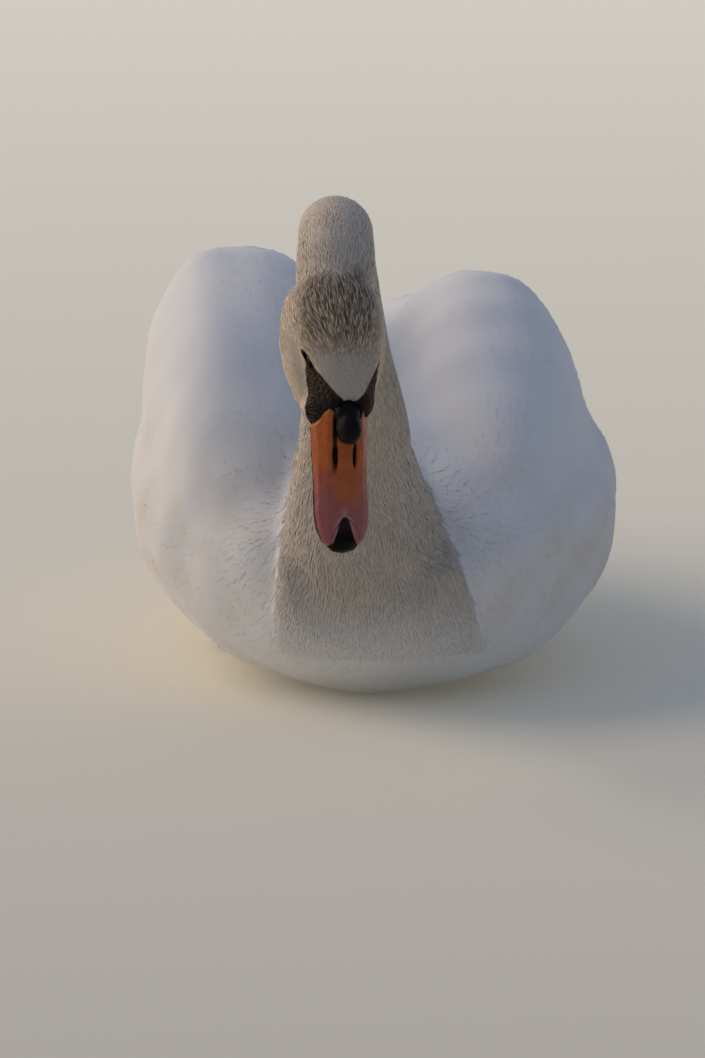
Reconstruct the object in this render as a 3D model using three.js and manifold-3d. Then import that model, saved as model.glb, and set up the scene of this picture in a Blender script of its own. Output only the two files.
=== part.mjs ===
// Adult mute swan sitting with its neck arched over and its bill pointing straight down,
// wings a little raised. Life size, millimetres, +Z up. The bird faces -Y and its left is +X.
// Stations along the body are counted back (+Y) from the breast; the group at the end puts
// the origin at the middle of the floor under the whole bird.
import * as THREE from 'three';
import { mergeVertices } from 'three/addons/utils/BufferGeometryUtils.js';
import Module from 'manifold-3d';

const wasm = await Module();
wasm.setup();

// Driving dimensions
const GAP = 0.3;                 // clearance between neighbouring pieces
const HULL_LENGTH = 700;         // breast to the last tail covert
const HULL_FRONT = 5;            // station of the foremost breast feather below the neck
const HULL_HALF_WIDTH = 170;
const BELLY_DEPTH = 6;           // how far the round belly is pressed flat
const WING_FRONT = 72;           // station of the bend of the wing
const WING_LENGTH = 575;         // bend of the wing to the longest tertial
const RIGHT_WING = { side: -1, crest: 284, middle: 97, reach: 164, roundness: 2.4, lift: 6 };
const LEFT_WING = { side: 1, crest: 266, middle: 88, reach: 156, roundness: 1.7, lift: 0 };
const PRIMARY_START = 500;
const PRIMARY_LENGTH = 222;
const TAIL_START = 640;
const TAIL_LENGTH = 158;
const NECK_RADIUS = 25.8;        // half width of the slimmest stretch, at the top of the arch
const HEAD_BACK = 60;            // eye to the back of the head, along the bill's axis
const EYE_TO_BILL_TIP = 131;
const BILL_BASE = 42;            // eye to the corner of the bill
const BILL_HALF_WIDTH = 18.8;
const BILL_SIDE = -2;            // the bill hangs a little to the right of the head's midline
const EYE_RADIUS = 5.6;
const EYE_OFFSET = 21.8;         // eye centre from the head's midline
const EYE_HEIGHT = 9;            // eye centre above the bill's axis
const TARSUS_LENGTH = 108;
const MIDDLE_TOE = 138;
const LEG_OFFSET = 62;           // leg from the body's midline

// Colours
const WHITE = { color: 0xe9e6e1, roughness: 0.85, metalness: 0 };
const BUFF = { color: 0xb3a596, roughness: 0.85, metalness: 0 };
const ORANGE = { color: 0xd0653a, roughness: 0.4, metalness: 0 };
const BLACK = { color: 0x141213, roughness: 0.35, metalness: 0 };
const EYE = { color: 0x1c120d, roughness: 0.08, metalness: 0 };
const FOOT = { color: 0x2c2a2a, roughness: 0.6, metalness: 0 };

const swan = new THREE.Group();

// ---------------------------------------------------------------- helpers

// Smooth curve through [x, y] knots that never overshoots them.
function profile(knots) {
  const slope = (i) => (knots[i + 1][1] - knots[i][1]) / (knots[i + 1][0] - knots[i][0]);
  const tangents = knots.map((_, i) => {
    if (i === 0) return slope(0);
    if (i === knots.length - 1) return slope(i - 1);
    const before = slope(i - 1);
    const after = slope(i);
    return before * after <= 0 ? 0 : (2 * before * after) / (before + after);
  });
  return (x) => {
    let i = 0;
    while (i < knots.length - 2 && x > knots[i + 1][0]) i += 1;
    const width = knots[i + 1][0] - knots[i][0];
    const t = THREE.MathUtils.clamp((x - knots[i][0]) / width, 0, 1);
    const t2 = t * t;
    const t3 = t2 * t;
    return (2 * t3 - 3 * t2 + 1) * knots[i][1] + (t3 - 2 * t2 + t) * width * tangents[i]
      + (3 * t2 - 2 * t3) * knots[i + 1][1] + (t3 - t2) * width * tangents[i + 1];
  };
}

// A signed power, which squares or sharpens the corner of a round section.
function squared(value, roundness) {
  return Math.sign(value) * Math.abs(value) ** (2 / roundness);
}

// A closed skin: the rows of a sphere, moved to pointAt(turn, row fraction).
function closedGeometry(around, along, pointAt) {
  const geometry = new THREE.SphereGeometry(1, around, along);
  const position = geometry.attributes.position;
  for (let i = 0; i < position.count; i += 1) {
    const turn = ((i % (around + 1)) / around) * Math.PI * 2;
    const row = Math.floor(i / (around + 1)) / along;
    const point = pointAt(turn, row);
    position.setXYZ(i, point.x, point.y, point.z);
  }
  return geometry;
}

function solidOf(geometry) {
  geometry.deleteAttribute('normal');
  geometry.deleteAttribute('uv');
  const merged = mergeVertices(geometry, 1e-3);
  return new wasm.Manifold(new wasm.Mesh({
    numProp: 3,
    vertProperties: new Float32Array(merged.attributes.position.array),
    triVerts: new Uint32Array(merged.index.array),
  }));
}

// Half of space on one side of a plane, as a box far larger than the bird.
function halfSpace(point, normal) {
  const size = 4000;
  const box = new THREE.BoxGeometry(size, size, size);
  box.translate(0, 0, size / 2);
  box.applyQuaternion(new THREE.Quaternion().setFromUnitVectors(
    new THREE.Vector3(0, 0, 1), normal.clone().normalize()));
  box.translate(point.x, point.y, point.z);
  return solidOf(box);
}

function addPart(name, solid, finish) {
  const mesh = solid.getMesh();
  const geometry = new THREE.BufferGeometry();
  geometry.setAttribute('position', new THREE.BufferAttribute(mesh.vertProperties, 3));
  geometry.setIndex(new THREE.BufferAttribute(mesh.triVerts, 1));
  geometry.computeVertexNormals();
  const part = new THREE.Mesh(geometry, new THREE.MeshStandardMaterial(finish));
  part.name = name;
  swan.add(part);
}

// Rows that are close together at both ends, where a shape rounds off.
const eased = (row) => (1 - Math.cos(Math.PI * row)) / 2;

// ---------------------------------------------------------------- trunk

const hullWidth = profile([
  [0, 0], [0.01, 0.26], [0.04, 0.46], [0.085, 0.62], [0.14, 0.82], [0.2, 0.935], [0.26, 0.985], [0.33, 1],
  [0.42, 0.995], [0.52, 0.95], [0.64, 0.83], [0.75, 0.65], [0.85, 0.45], [0.93, 0.27], [0.98, 0.13],
  [1, 0]]);
const hullTop = profile([[0, 98], [0.04, 124], [0.12, 162], [0.2, 186], [0.32, 206], [0.45, 214],
  [0.58, 209], [0.7, 197], [0.82, 183], [0.93, 169], [1, 160]]);
const hullBottom = profile([[0, 90], [0.01, 62], [0.04, 31], [0.09, 9], [0.15, -2], [0.22, -BELLY_DEPTH],
  [0.56, -BELLY_DEPTH], [0.66, 8], [0.76, 36], [0.86, 76], [0.94, 114], [1, 151]]);
const hullLevel = profile([[0, 94], [0.08, 106], [0.2, 119], [0.4, 126], [0.6, 135], [0.8, 146], [1, 156]]);
const HULL_UPPER_ROUNDNESS = 2;
const HULL_LOWER_ROUNDNESS = 2.3;

function hull(grow) {
  return solidOf(closedGeometry(26, 18, (turn, row) => {
    const place = eased(row);
    const level = hullLevel(place);
    const upper = Math.sin(turn) > 0;
    const roundness = upper ? HULL_UPPER_ROUNDNESS : HULL_LOWER_ROUNDNESS;
    const height = upper ? hullTop(place) - level + grow : level - hullBottom(place) + grow;
    const end = row > 0 && row < 1 ? 1 : 0;
    const width = (hullWidth(place) * HULL_HALF_WIDTH + grow) * end;
    return new THREE.Vector3(
      width * squared(Math.cos(turn), roundness),
      HULL_FRONT - grow + place * (HULL_LENGTH + 2 * grow),
      level + height * end * squared(Math.sin(turn), roundness));
  }));
}

// ---------------------------------------------------------------- neck

// The neck's middle line, from deep in the breast up and over to the head. It leans to the
// bird's right and its stations carry half widths and half depths.
const NECK = [
  { at: [-9, 128, 68], width: 48, depth: 42 },
  { at: [-12, 72, 94], width: 60, depth: 62 },
  { at: [-16, 48, 126], width: 56.5, depth: 58 },
  { at: [-20, 35, 160], width: 48.5, depth: 47 },
  { at: [-24, 16, 210], width: 36, depth: 34.5 },
  { at: [-30.5, -3, 262], width: 30, depth: 30 },
  { at: [-35.5, -18, 303], width: 28, depth: 28 },
  { at: [-39, -46, 339.5], width: NECK_RADIUS, depth: NECK_RADIUS },
  { at: [-40, -88, 346], width: NECK_RADIUS, depth: NECK_RADIUS },
  { at: [-42, -126, 334], width: 27.5, depth: 27.5 },
  { at: [-43, -152, 309], width: 26, depth: 26 },
];
const neckLine = new THREE.CatmullRomCurve3(NECK.map((station) => new THREE.Vector3(...station.at)));
const alongNeck = (key) => profile(NECK.map((station, i) => [i / (NECK.length - 1), station[key]]));
const neckWidth = alongNeck('width');
const neckDepth = alongNeck('depth');

// A length of neck between two places on the line, with flat ends.
function neckLength(start, end, rows, grow) {
  return solidOf(closedGeometry(20, rows, (turn, row) => {
    const inner = THREE.MathUtils.clamp((row * rows - 1) / (rows - 2), 0, 1);
    const t = start + (end - start) * inner;
    const point = neckLine.getPoint(t);
    const tangent = neckLine.getTangent(t);
    point.addScaledVector(tangent, grow * (2 * inner - 1));
    const side = new THREE.Vector3(1, 0, 0);
    side.addScaledVector(tangent, -side.dot(tangent)).normalize();
    const front = new THREE.Vector3().crossVectors(side, tangent);
    const ring = row > 0 && row < 1 ? 1 : 0;
    return point
      .addScaledVector(side, ring * (neckWidth(t) + grow) * Math.cos(turn))
      .addScaledVector(front, ring * (neckDepth(t) + grow) * Math.sin(turn));
  }));
}

// Places where the neck is parted, as fractions of its line.
const NECK_JOINTS = [0.24, 0.4, 0.56, 0.7, 0.86];
const HALF_GAP = 0.0006;

// ---------------------------------------------------------------- head and bill

// The head's own axes: forward to the bill tip, dorsal to the crown, side to the bird's left.
const HEAD_CENTRE = new THREE.Vector3(-40.5, -172, 280);
const HEAD_TURN = THREE.MathUtils.degToRad(15);
const HEAD_NOD = THREE.MathUtils.degToRad(6);
const HEAD_TILT = THREE.MathUtils.degToRad(1.2);
const headAxes = (() => {
  const turned = new THREE.Matrix4().makeRotationZ(HEAD_TURN);
  const nodded = new THREE.Matrix4().makeRotationX(-HEAD_NOD);
  const tilted = new THREE.Matrix4().makeRotationY(-HEAD_TILT);
  return turned.multiply(tilted).multiply(nodded);
})();

// A point of the head given by its distance forward, to the left side and towards the crown.
function headPoint(forward, side, dorsal) {
  return new THREE.Vector3(side, -dorsal, -forward).applyMatrix4(headAxes).add(HEAD_CENTRE);
}

// The head's axes are left-handed, so a closed skin drawn in them turns the other way.
function headSolid(around, along, pointAt) {
  return solidOf(closedGeometry(around, along, (turn, row) => pointAt(-turn, row)));
}

// A closed shape along the head's forward axis, from its half width, top and bottom.
function headShape(around, along, back, length, shape, grow = 0) {
  return headSolid(around, along, (turn, row) => {
    const place = eased(row);
    const end = row > 0 && row < 1 ? 1 : 0;
    const section = shape(place);
    const dorsalSide = Math.sin(turn) > 0;
    const height = dorsalSide ? section.top - section.level : section.level - section.bottom;
    return headPoint(
      back - grow + place * (length + 2 * grow),
      (section.side ?? 0) + end * (section.width + grow) * squared(Math.cos(turn), section.roundness),
      section.level + end * (height + grow) * squared(Math.sin(turn), section.roundness));
  });
}

const skullWidth = profile([
  [0, 0], [0.05, 16], [0.16, 26.5], [0.3, 31.5], [0.42, 30.5], [0.54, 27.4], [0.7, 23.8], [0.85, 20.5],
  [0.97, 18], [1, 17.5]]);
const skullTop = profile([
  [0, -10], [0.05, 7], [0.16, 19], [0.3, 26.5], [0.45, 30.5], [0.58, 30], [0.75, 26], [0.9, 20.5],
  [1, 17]]);
const skullBottom = profile([
  [0, -14], [0.05, -28], [0.16, -37], [0.3, -39], [0.5, -35], [0.7, -26], [0.9, -17], [1, -14]]);
const SKULL_LENGTH = HEAD_BACK + BILL_BASE + 8;

function skull() {
  return headShape(16, 13, -HEAD_BACK, SKULL_LENGTH, (place) => ({
    width: skullWidth(place),
    top: skullTop(place),
    bottom: skullBottom(place),
    level: -6,
    roundness: 2.1,
  }));
}

// A full cheek of feathers behind and below each eye: its centre and half sizes.
const CHEEK = { forward: -10, side: 14, dorsal: -14, length: 44, width: 22.8, depth: 19 };

function cheek(side) {
  return headSolid(10, 8, (turn, row) => {
    const angle = Math.PI * row;
    return headPoint(
      CHEEK.forward - CHEEK.length * Math.cos(angle),
      side * CHEEK.side + CHEEK.width * Math.sin(angle) * Math.cos(turn),
      CHEEK.dorsal + CHEEK.depth * Math.sin(angle) * Math.sin(turn));
  });
}

const billWidth = profile([
  [0, 0.98], [0.25, 0.99], [0.5, 0.96], [0.72, 1], [0.86, 0.93], [0.95, 0.62], [1, 0.2]]);
const culmen = profile([[0, 22], [0.15, 18], [0.35, 12.5], [0.6, 7], [0.8, 4], [0.93, 1.5], [1, -5]]);
const gapeLine = profile([[0, -6], [0.4, -7], [0.75, -8], [0.92, -8.5], [1, -9.5]]);
const BILL_START = 30;
const BILL_LENGTH = EYE_TO_BILL_TIP - BILL_START;

// Upper half of the bill: arched across, flat along the gape.
function upperBill(grow) {
  return headShape(14, 11, BILL_START, BILL_LENGTH, (place) => ({
    width: billWidth(place) * BILL_HALF_WIDTH,
    top: culmen(place),
    bottom: gapeLine(place) - 0.6,
    level: gapeLine(place),
    side: BILL_SIDE,
    roundness: 2.15,
  }), grow);
}

const LOWER_BILL_LENGTH = 90;
const lowerWidth = profile([[0, 0.8], [0.5, 0.84], [0.8, 0.86], [0.94, 0.62], [1, 0.2]]);
const lowerDepth = profile([[0, 11], [0.4, 6.5], [0.8, 4.2], [1, 2]]);

function lowerBill(grow) {
  return headShape(12, 8, BILL_START + 4, LOWER_BILL_LENGTH, (place) => {
    const level = gapeLine(place * LOWER_BILL_LENGTH / BILL_LENGTH) - 0.6 - GAP;
    return {
      width: lowerWidth(place) * BILL_HALF_WIDTH,
      top: level,
      bottom: level - lowerDepth(place),
      level,
      side: BILL_SIDE,
      roundness: 2.2,
    };
  }, grow);
}

// The fleshy knob where the bill meets the forehead: its centre and half sizes.
const KNOB = { forward: 43.5, dorsal: 19, length: 15.5, width: 8.3, depth: 12.5 };

function knob(grow) {
  return headSolid(12, 10, (turn, row) => {
    const angle = Math.PI * row;
    return headPoint(
      KNOB.forward - (KNOB.length + grow) * Math.cos(angle),
      BILL_SIDE + (KNOB.width + grow) * Math.sin(angle) * Math.cos(turn),
      KNOB.dorsal + (KNOB.depth + grow) * Math.sin(angle) * Math.sin(turn));
  });
}

// The nail's outline seen on the bill: a long oval that takes in the tip.
const NAIL = { length: 23, width: 10.5, depth: 20 };

function nailShape(grow) {
  return headSolid(10, 10, (turn, row) => {
    const angle = Math.PI * row;
    return headPoint(
      EYE_TO_BILL_TIP - (NAIL.length + grow) * Math.cos(angle),
      BILL_SIDE + (NAIL.width + grow) * Math.sin(angle) * Math.cos(turn),
      (NAIL.depth + grow) * Math.sin(angle) * Math.sin(turn));
  });
}

function eyeball(side, grow) {
  return headSolid(10, 8, (turn, row) => {
    const angle = Math.PI * row;
    const radius = EYE_RADIUS + grow;
    return headPoint(
      -radius * Math.cos(angle),
      side * EYE_OFFSET + radius * Math.sin(angle) * Math.cos(turn),
      EYE_HEIGHT + radius * Math.sin(angle) * Math.sin(turn));
  });
}

// ---------------------------------------------------------------- wings

const WING_PEAK = 0.36;
const wingRise = profile([
  [0, 0], [0.03, 0.26], [0.08, 0.5], [0.15, 0.71], [0.23, 0.88], [0.31, 0.98], [WING_PEAK, 1], [0.44, 0.95],
  [0.54, 0.82], [0.66, 0.63], [0.78, 0.43], [0.9, 0.23], [1, 0.08]]);
const wingOuter = profile([
  [0, 0.5], [0.03, 0.7], [0.08, 0.86], [0.16, 0.955], [0.27, 1], [0.4, 0.995], [0.53, 0.94], [0.66, 0.83],
  [0.78, 0.67], [0.88, 0.49], [0.95, 0.34], [1, 0.2]]);
const wingMiddle = profile([[0, 0.9], [0.1, 1], [0.4, 1], [0.65, 0.84], [0.8, 0.66], [1, 0.37]]);
const wingInner = profile([[0, 70], [0.06, 40], [0.15, 20], [0.3, 7], [0.5, 6], [0.7, 10], [1, 18]]);
const wingFoot = profile([
  [0, 116], [0.06, 120], [0.2, 130], [WING_PEAK, 137], [0.6, 146], [0.8, 158], [1, 178]]);
const WING_TUCK = 24;
const INNER_ROUNDNESS = 2.5;
const LOWER_ROUNDNESS = 2;

function wing(shape, grow) {
  const { side, crest, middle: crestPlace, reach: outerPlace, roundness: outerRoundness } = shape;
  return solidOf(closedGeometry(22, 17, (turn, row) => {
    const place = eased(row);
    const end = row > 0 && row < 1 ? 1 : 0;
    const foot = wingFoot(place);
    const top = foot + (crest - wingFoot(WING_PEAK)) * wingRise(place);
    const middle = wingMiddle(place) * crestPlace;
    const outwards = Math.cos(turn) * side > 0;
    const reach = outwards ? wingOuter(place) * outerPlace - middle : middle - wingInner(place);
    const upper = Math.sin(turn) > 0;
    const upperRoundness = outwards ? outerRoundness : INNER_ROUNDNESS;
    const roundness = upper ? upperRoundness : LOWER_ROUNDNESS;
    const height = upper ? top - foot : WING_TUCK * (1 - 0.7 * place);
    return new THREE.Vector3(
      side * middle + end * (reach + grow) * squared(Math.cos(turn), roundness),
      WING_FRONT - grow + place * (WING_LENGTH + 2 * grow),
      foot + end * (height + grow) * squared(Math.sin(turn), roundness));
  }));
}

const primaryWidth = profile([[0, 20], [0.4, 24], [0.75, 17], [0.93, 8], [1, 2.5]]);
const primaryThickness = profile([[0, 9], [0.5, 6], [0.9, 2.2], [1, 1]]);
const PRIMARY_ROOT = { out: 52, level: 198 };
const PRIMARY_TIP = { out: 25, level: 171 };

// The folded tips of the long flight feathers, which close in over the rump.
function primaries({ side, lift }) {
  return solidOf(closedGeometry(10, 9, (turn, row) => {
    const place = eased(row);
    const end = row > 0 && row < 1 ? 1 : 0;
    const out = THREE.MathUtils.lerp(PRIMARY_ROOT.out, PRIMARY_TIP.out, place);
    const level = THREE.MathUtils.lerp(PRIMARY_ROOT.level, PRIMARY_TIP.level, place) + lift;
    return new THREE.Vector3(
      side * out + end * primaryWidth(place) * Math.cos(turn),
      PRIMARY_START + place * PRIMARY_LENGTH,
      level + end * primaryThickness(place) * Math.sin(turn));
  }));
}

// ---------------------------------------------------------------- tail

const TAIL_HALF_WIDTH = 56;
const tailWidth = profile([[0, 0.4], [0.3, 0.78], [0.6, 1], [0.8, 0.84], [0.94, 0.46], [1, 0.2]]);
const tailThickness = profile([[0, 9], [0.4, 5], [0.8, 2.4], [1, 1.1]]);
const TAIL_LEVEL = 154;
const TAIL_DROOP = 9;
const TAIL_RISE = 7;

function tailFan() {
  return solidOf(closedGeometry(16, 10, (turn, row) => {
    const place = eased(row);
    const end = row > 0 && row < 1 ? 1 : 0;
    const across = Math.cos(turn) * end;
    const spread = tailWidth(place) * across;
    return new THREE.Vector3(
      TAIL_HALF_WIDTH * spread,
      TAIL_START + place * TAIL_LENGTH,
      TAIL_LEVEL + TAIL_RISE * place - TAIL_DROOP * spread ** 2
        + end * tailThickness(place) * Math.sin(turn));
  }));
}

// ---------------------------------------------------------------- legs

// A rounded rod between two points, thicker or thinner towards its end.
function rod(start, finish, startRadius, endRadius, flatness = 1) {
  const axis = finish.clone().sub(start);
  const length = axis.length();
  const direction = axis.clone().normalize();
  const side = new THREE.Vector3(0, 0, 1).cross(direction).normalize();
  const up = new THREE.Vector3().crossVectors(side, direction);
  return solidOf(closedGeometry(7, 5, (turn, row) => {
    const place = eased(row);
    const radius = THREE.MathUtils.lerp(startRadius, endRadius, place);
    const girth = radius * Math.sin(Math.PI * row) ** 0.5;
    return start.clone()
      .addScaledVector(direction, -startRadius + place * (length + startRadius + endRadius))
      .addScaledVector(side, girth * Math.cos(turn))
      .addScaledVector(up, girth * flatness * Math.sin(turn));
  }));
}

const FOOT_JOINT = 398;
const TOES = [
  { angle: 17, length: MIDDLE_TOE * 0.84 },
  { angle: 0, length: MIDDLE_TOE },
  { angle: -19, length: MIDDLE_TOE * 0.95 },
];
const TOE_HEIGHT = 4.2;
const TOE_ROOT = 7.5;            // radius of a toe at the joint
const TOE_END = 4.2;
const TOE_FLATNESS = 0.85;
const WEB_THICKNESS = 3;
const HIND_TOE = { inwards: 14, back: 22, height: 5, root: 4, end: 2.6 };

const floorUp = () => halfSpace(new THREE.Vector3(0, 0, 0), new THREE.Vector3(0, 0, 1));

function toeTip(side, toe) {
  const angle = THREE.MathUtils.degToRad(toe.angle) * side;
  return new THREE.Vector3(
    side * LEG_OFFSET - Math.sin(angle) * toe.length,
    FOOT_JOINT - Math.cos(angle) * toe.length,
    TOE_HEIGHT);
}

function foot(side, grow) {
  const joint = new THREE.Vector3(side * LEG_OFFSET, FOOT_JOINT, TOE_HEIGHT);
  const outline = new THREE.Shape();
  outline.moveTo(joint.x, joint.y + 4);
  const tips = TOES.map((toe) => toeTip(side, toe).lerp(joint, 0.1));
  outline.lineTo(tips[0].x, tips[0].y);
  for (let i = 1; i < tips.length; i += 1) {
    const hollow = tips[i - 1].clone().lerp(tips[i], 0.5).lerp(joint, 0.12);
    outline.quadraticCurveTo(hollow.x, hollow.y, tips[i].x, tips[i].y);
  }
  outline.closePath();
  const web = new THREE.ExtrudeGeometry(outline, {
    depth: WEB_THICKNESS + grow, bevelEnabled: false, curveSegments: 3,
  });
  let solid = solidOf(web);
  for (const toe of TOES) {
    solid = solid.add(rod(joint, toeTip(side, toe), TOE_ROOT + grow, TOE_END + grow, TOE_FLATNESS));
  }
  const hindStart = new THREE.Vector3(joint.x - side * 3, joint.y + 8, HIND_TOE.height);
  const hindEnd = new THREE.Vector3(
    joint.x - side * HIND_TOE.inwards, joint.y + HIND_TOE.back, HIND_TOE.height);
  solid = solid.add(rod(hindStart, hindEnd, HIND_TOE.root + grow, HIND_TOE.end + grow));
  return solid.intersect(floorUp());
}

const ANKLE = { out: LEG_OFFSET, back: 13, height: 7.5, radius: 7.2 };
const HEEL = { out: LEG_OFFSET - 4, back: TARSUS_LENGTH, height: 12, radius: 9.5 };
const KNEE = { out: LEG_OFFSET + 4, back: 55, height: 52, radius: 15 };

// The shank lies along the floor, and the leg turns up into the belly at the heel.
function leg(side, grow) {
  const [ankle, heel, knee] = [ANKLE, HEEL, KNEE].map(
    ({ out, back, height }) => new THREE.Vector3(side * out, FOOT_JOINT + back, height));
  return rod(ankle, heel, ANKLE.radius + grow, HEEL.radius + grow)
    .add(rod(heel, knee, HEEL.radius + grow, KNEE.radius + grow))
    .intersect(floorUp());
}

// ---------------------------------------------------------------- the bird, part by part

const SIDES = [['right', RIGHT_WING], ['left', LEFT_WING]];

const ROOT_ROWS = 8;
const NECK_ROWS = 6;
const neckRoot = neckLength(0, NECK_JOINTS[0] - HALF_GAP, ROOT_ROWS, 0);
let trunk = hull(0).add(neckRoot)
  .subtract(neckLength(NECK_JOINTS[0] - HALF_GAP, NECK_JOINTS[1], NECK_ROWS, GAP));
for (const [, { side }] of SIDES) {
  trunk = trunk.subtract(foot(side, GAP)).subtract(leg(side, GAP));
}
addPart('trunk', trunk.intersect(floorUp()), WHITE);

for (let i = 0; i < NECK_JOINTS.length - 1; i += 1) {
  const length = neckLength(NECK_JOINTS[i] + HALF_GAP, NECK_JOINTS[i + 1] - HALF_GAP, NECK_ROWS, 0);
  addPart(`neck_${i + 1}`, length, BUFF);
}

const bodyShell = hull(GAP)
  .add(neckLength(0, NECK_JOINTS[0], ROOT_ROWS, GAP))
  .add(neckLength(NECK_JOINTS[0], NECK_JOINTS[1], NECK_ROWS, GAP));
for (const [name, shape] of SIDES) {
  const { side } = shape;
  addPart(`wing_${name}`, wing(shape, 0).subtract(bodyShell), WHITE);
  addPart(`primaries_${name}`, primaries(shape).subtract(bodyShell).subtract(wing(shape, GAP)), WHITE);
  addPart(`leg_${name}`, leg(side, 0).subtract(foot(side, GAP)), FOOT);
  addPart(`foot_${name}`, foot(side, 0), FOOT);
  addPart(`eye_${name}`, eyeball(side, 0), EYE);
}
addPart('tail', tailFan().subtract(hull(GAP)), WHITE);

const neckEnd = neckLength(NECK_JOINTS[4] + HALF_GAP, 1, 5, 0);
const FEATHER_EDGE = BILL_BASE + 3;    // where the face's feathers end, halfway down the bill's side
const FEATHER_EDGE_LEVEL = -6;
const FEATHER_EDGE_SLANT = 0.42;
const billCut = headPoint(FEATHER_EDGE, 0, FEATHER_EDGE_LEVEL);
const billCutNormal = headPoint(FEATHER_EDGE + 1, 0, FEATHER_EDGE_LEVEL + FEATHER_EDGE_SLANT).sub(billCut);
const beforeBill = halfSpace(billCut, billCutNormal.clone().negate());
const afterBill = halfSpace(billCut.clone().addScaledVector(billCutNormal.normalize(), GAP), billCutNormal);
const head = skull().add(cheek(-1)).add(cheek(1)).add(upperBill(0).add(lowerBill(0)))
  .add(neckEnd)
  .intersect(beforeBill)
  .subtract(neckLength(NECK_JOINTS[3], NECK_JOINTS[4] + HALF_GAP, NECK_ROWS, GAP))
  .subtract(eyeball(-1, GAP)).subtract(eyeball(1, GAP)).subtract(knob(GAP));
addPart('head', head, BUFF);
addPart('bill_knob', knob(0), BLACK);

const upper = upperBill(0).intersect(afterBill).subtract(knob(GAP));
addPart('bill_upper', upper.subtract(nailShape(GAP)), ORANGE);
addPart('bill_nail', upper.intersect(nailShape(0)), BLACK);
addPart('bill_lower', lowerBill(0).intersect(afterBill).subtract(upperBill(GAP)), ORANGE);

// The origin goes to the floor under the middle of the bird's box.
const box = new THREE.Box3().setFromObject(swan);
const middle = box.getCenter(new THREE.Vector3());
swan.position.set(-middle.x, -middle.y, -box.min.z);

export default swan;
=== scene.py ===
import math

import bmesh
import bpy
import numpy as np
from mathutils import Matrix, Vector
from mathutils.bvhtree import BVHTree
from mathutils.kdtree import KDTree


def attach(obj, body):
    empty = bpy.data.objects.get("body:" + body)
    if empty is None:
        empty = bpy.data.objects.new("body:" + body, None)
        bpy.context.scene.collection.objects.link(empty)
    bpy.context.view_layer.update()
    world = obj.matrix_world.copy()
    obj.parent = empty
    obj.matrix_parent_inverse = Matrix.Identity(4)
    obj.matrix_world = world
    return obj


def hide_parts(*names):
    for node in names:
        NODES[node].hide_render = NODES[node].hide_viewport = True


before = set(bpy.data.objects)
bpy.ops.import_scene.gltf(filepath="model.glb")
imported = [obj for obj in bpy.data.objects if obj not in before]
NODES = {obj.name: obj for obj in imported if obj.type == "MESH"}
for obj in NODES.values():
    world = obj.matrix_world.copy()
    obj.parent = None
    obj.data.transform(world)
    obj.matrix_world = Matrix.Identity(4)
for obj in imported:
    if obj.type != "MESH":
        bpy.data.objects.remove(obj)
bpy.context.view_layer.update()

MM = 0.001
STATION_ZERO = np.array([0.0, -295.78, 0.0])    # where the breast's station 0 is, in millimetres

# ---------------- the body's lines

# The neck's middle line from the breast to the head: x, station, height, half width
NECK = np.array([
    [-9, 128, 68, 45], [-12, 72, 94, 61], [-16, 48, 126, 57], [-20, 35, 160, 48], [-24, 16, 210, 35.5],
    [-30.5, -3, 262, 30], [-35.5, -18, 303, 28], [-39, -46, 339.5, 25.8], [-40, -88, 346, 25.8],
    [-42, -126, 334, 27.5], [-43, -152, 309, 26]])
HEAD_CENTRE = np.array([-40.5, -172.0, 280.0])
HEAD_AXES = np.array(Matrix.Rotation(math.radians(15), 3, "Z")
                     @ Matrix.Rotation(math.radians(-1.2), 3, "Y")
                     @ Matrix.Rotation(math.radians(-6), 3, "X"))
EYE_FORWARD = 0.9
EYE_DORSAL = 8.6
EYE_RADIUS = 5.6
EYE_OUT = 2.2                    # how far the eyeball stands out of its seat
LID_REACH = 6.0                  # half the length of the eye's opening
LID_THICKNESS = 0.84
LID_SLANT = 0.42                 # how much the opening rises to the crown for each step forward
BILL_SIDE = -2.0                 # where the bill's middle runs, to the right of the head's
VANE_FLOOR, SKIN_FLOOR, FOOT_FLOOR = 0.0004, 0.0012, 0.0002      # how near the floor each may come, in metres
HANDS = {"right": -1, "left": 1}

# The line on the breast where the neck's buff plumes end, as seen from the front: its distance
# to the left and right of the middle at each level
BREAST_LEVELS = [40, 56, 108, 129, 152, 188, 225, 262]
BREAST_LEFT = [72, 67, 49, 40, 30.5, 17, 12, 10]
BREAST_RIGHT = [-79, -80, -78, -75, -71, -65, -62, -62]

# Lines drawn on the head: places, and how far forward or how high the line runs there
FOREHEAD = ([-29, -23.7, -17.4, -10.6, -5.6, -2, 3.2, 7.5, 14.1, 23.6, 29],
            [-6, 4.2, 14.2, 23.8, 28.7, 30.5, 28.7, 25, 15, 2.8, -6])
NAPE = ([-60, -50, -38, -25, -10, 5, 15], [-12, -10, -8, -3, 2, 10, 18])
LORE_FOOT = ([-6, 3, 8, 18, 27, 32, 37, 41, 46, 60], [9, 5.5, 2.2, -1.0, -1.6, 0.8, 1.0, -4, -10, -14])
GAPE = ([10, 30, 44, 50], [-14, -11, -8, -7])
CHEEK_RIGHT = ([20, 25, 29, 33, 37, 41, 45, 50], [0, 1.5, 4.6, 7.4, 7.4, 4.2, 1.0, 0])
CHEEK_LEFT = ([20, 27, 34, 40, 46, 50], [0, 0.6, 1.2, 0.8, 0.3, 0])


def to_metres(points):
    return (np.asarray(points, float) + STATION_ZERO) * MM


def to_bird(points):
    return np.asarray(points, float) / MM - STATION_ZERO


def head_to_bird(forward, side, dorsal):
    """Bird millimetres from how far forward, left and crownwards of the head's centre a place is."""
    local = np.stack(np.broadcast_arrays(side, -np.asarray(dorsal), -np.asarray(forward)), axis=-1)
    return local @ HEAD_AXES.T + HEAD_CENTRE


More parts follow.
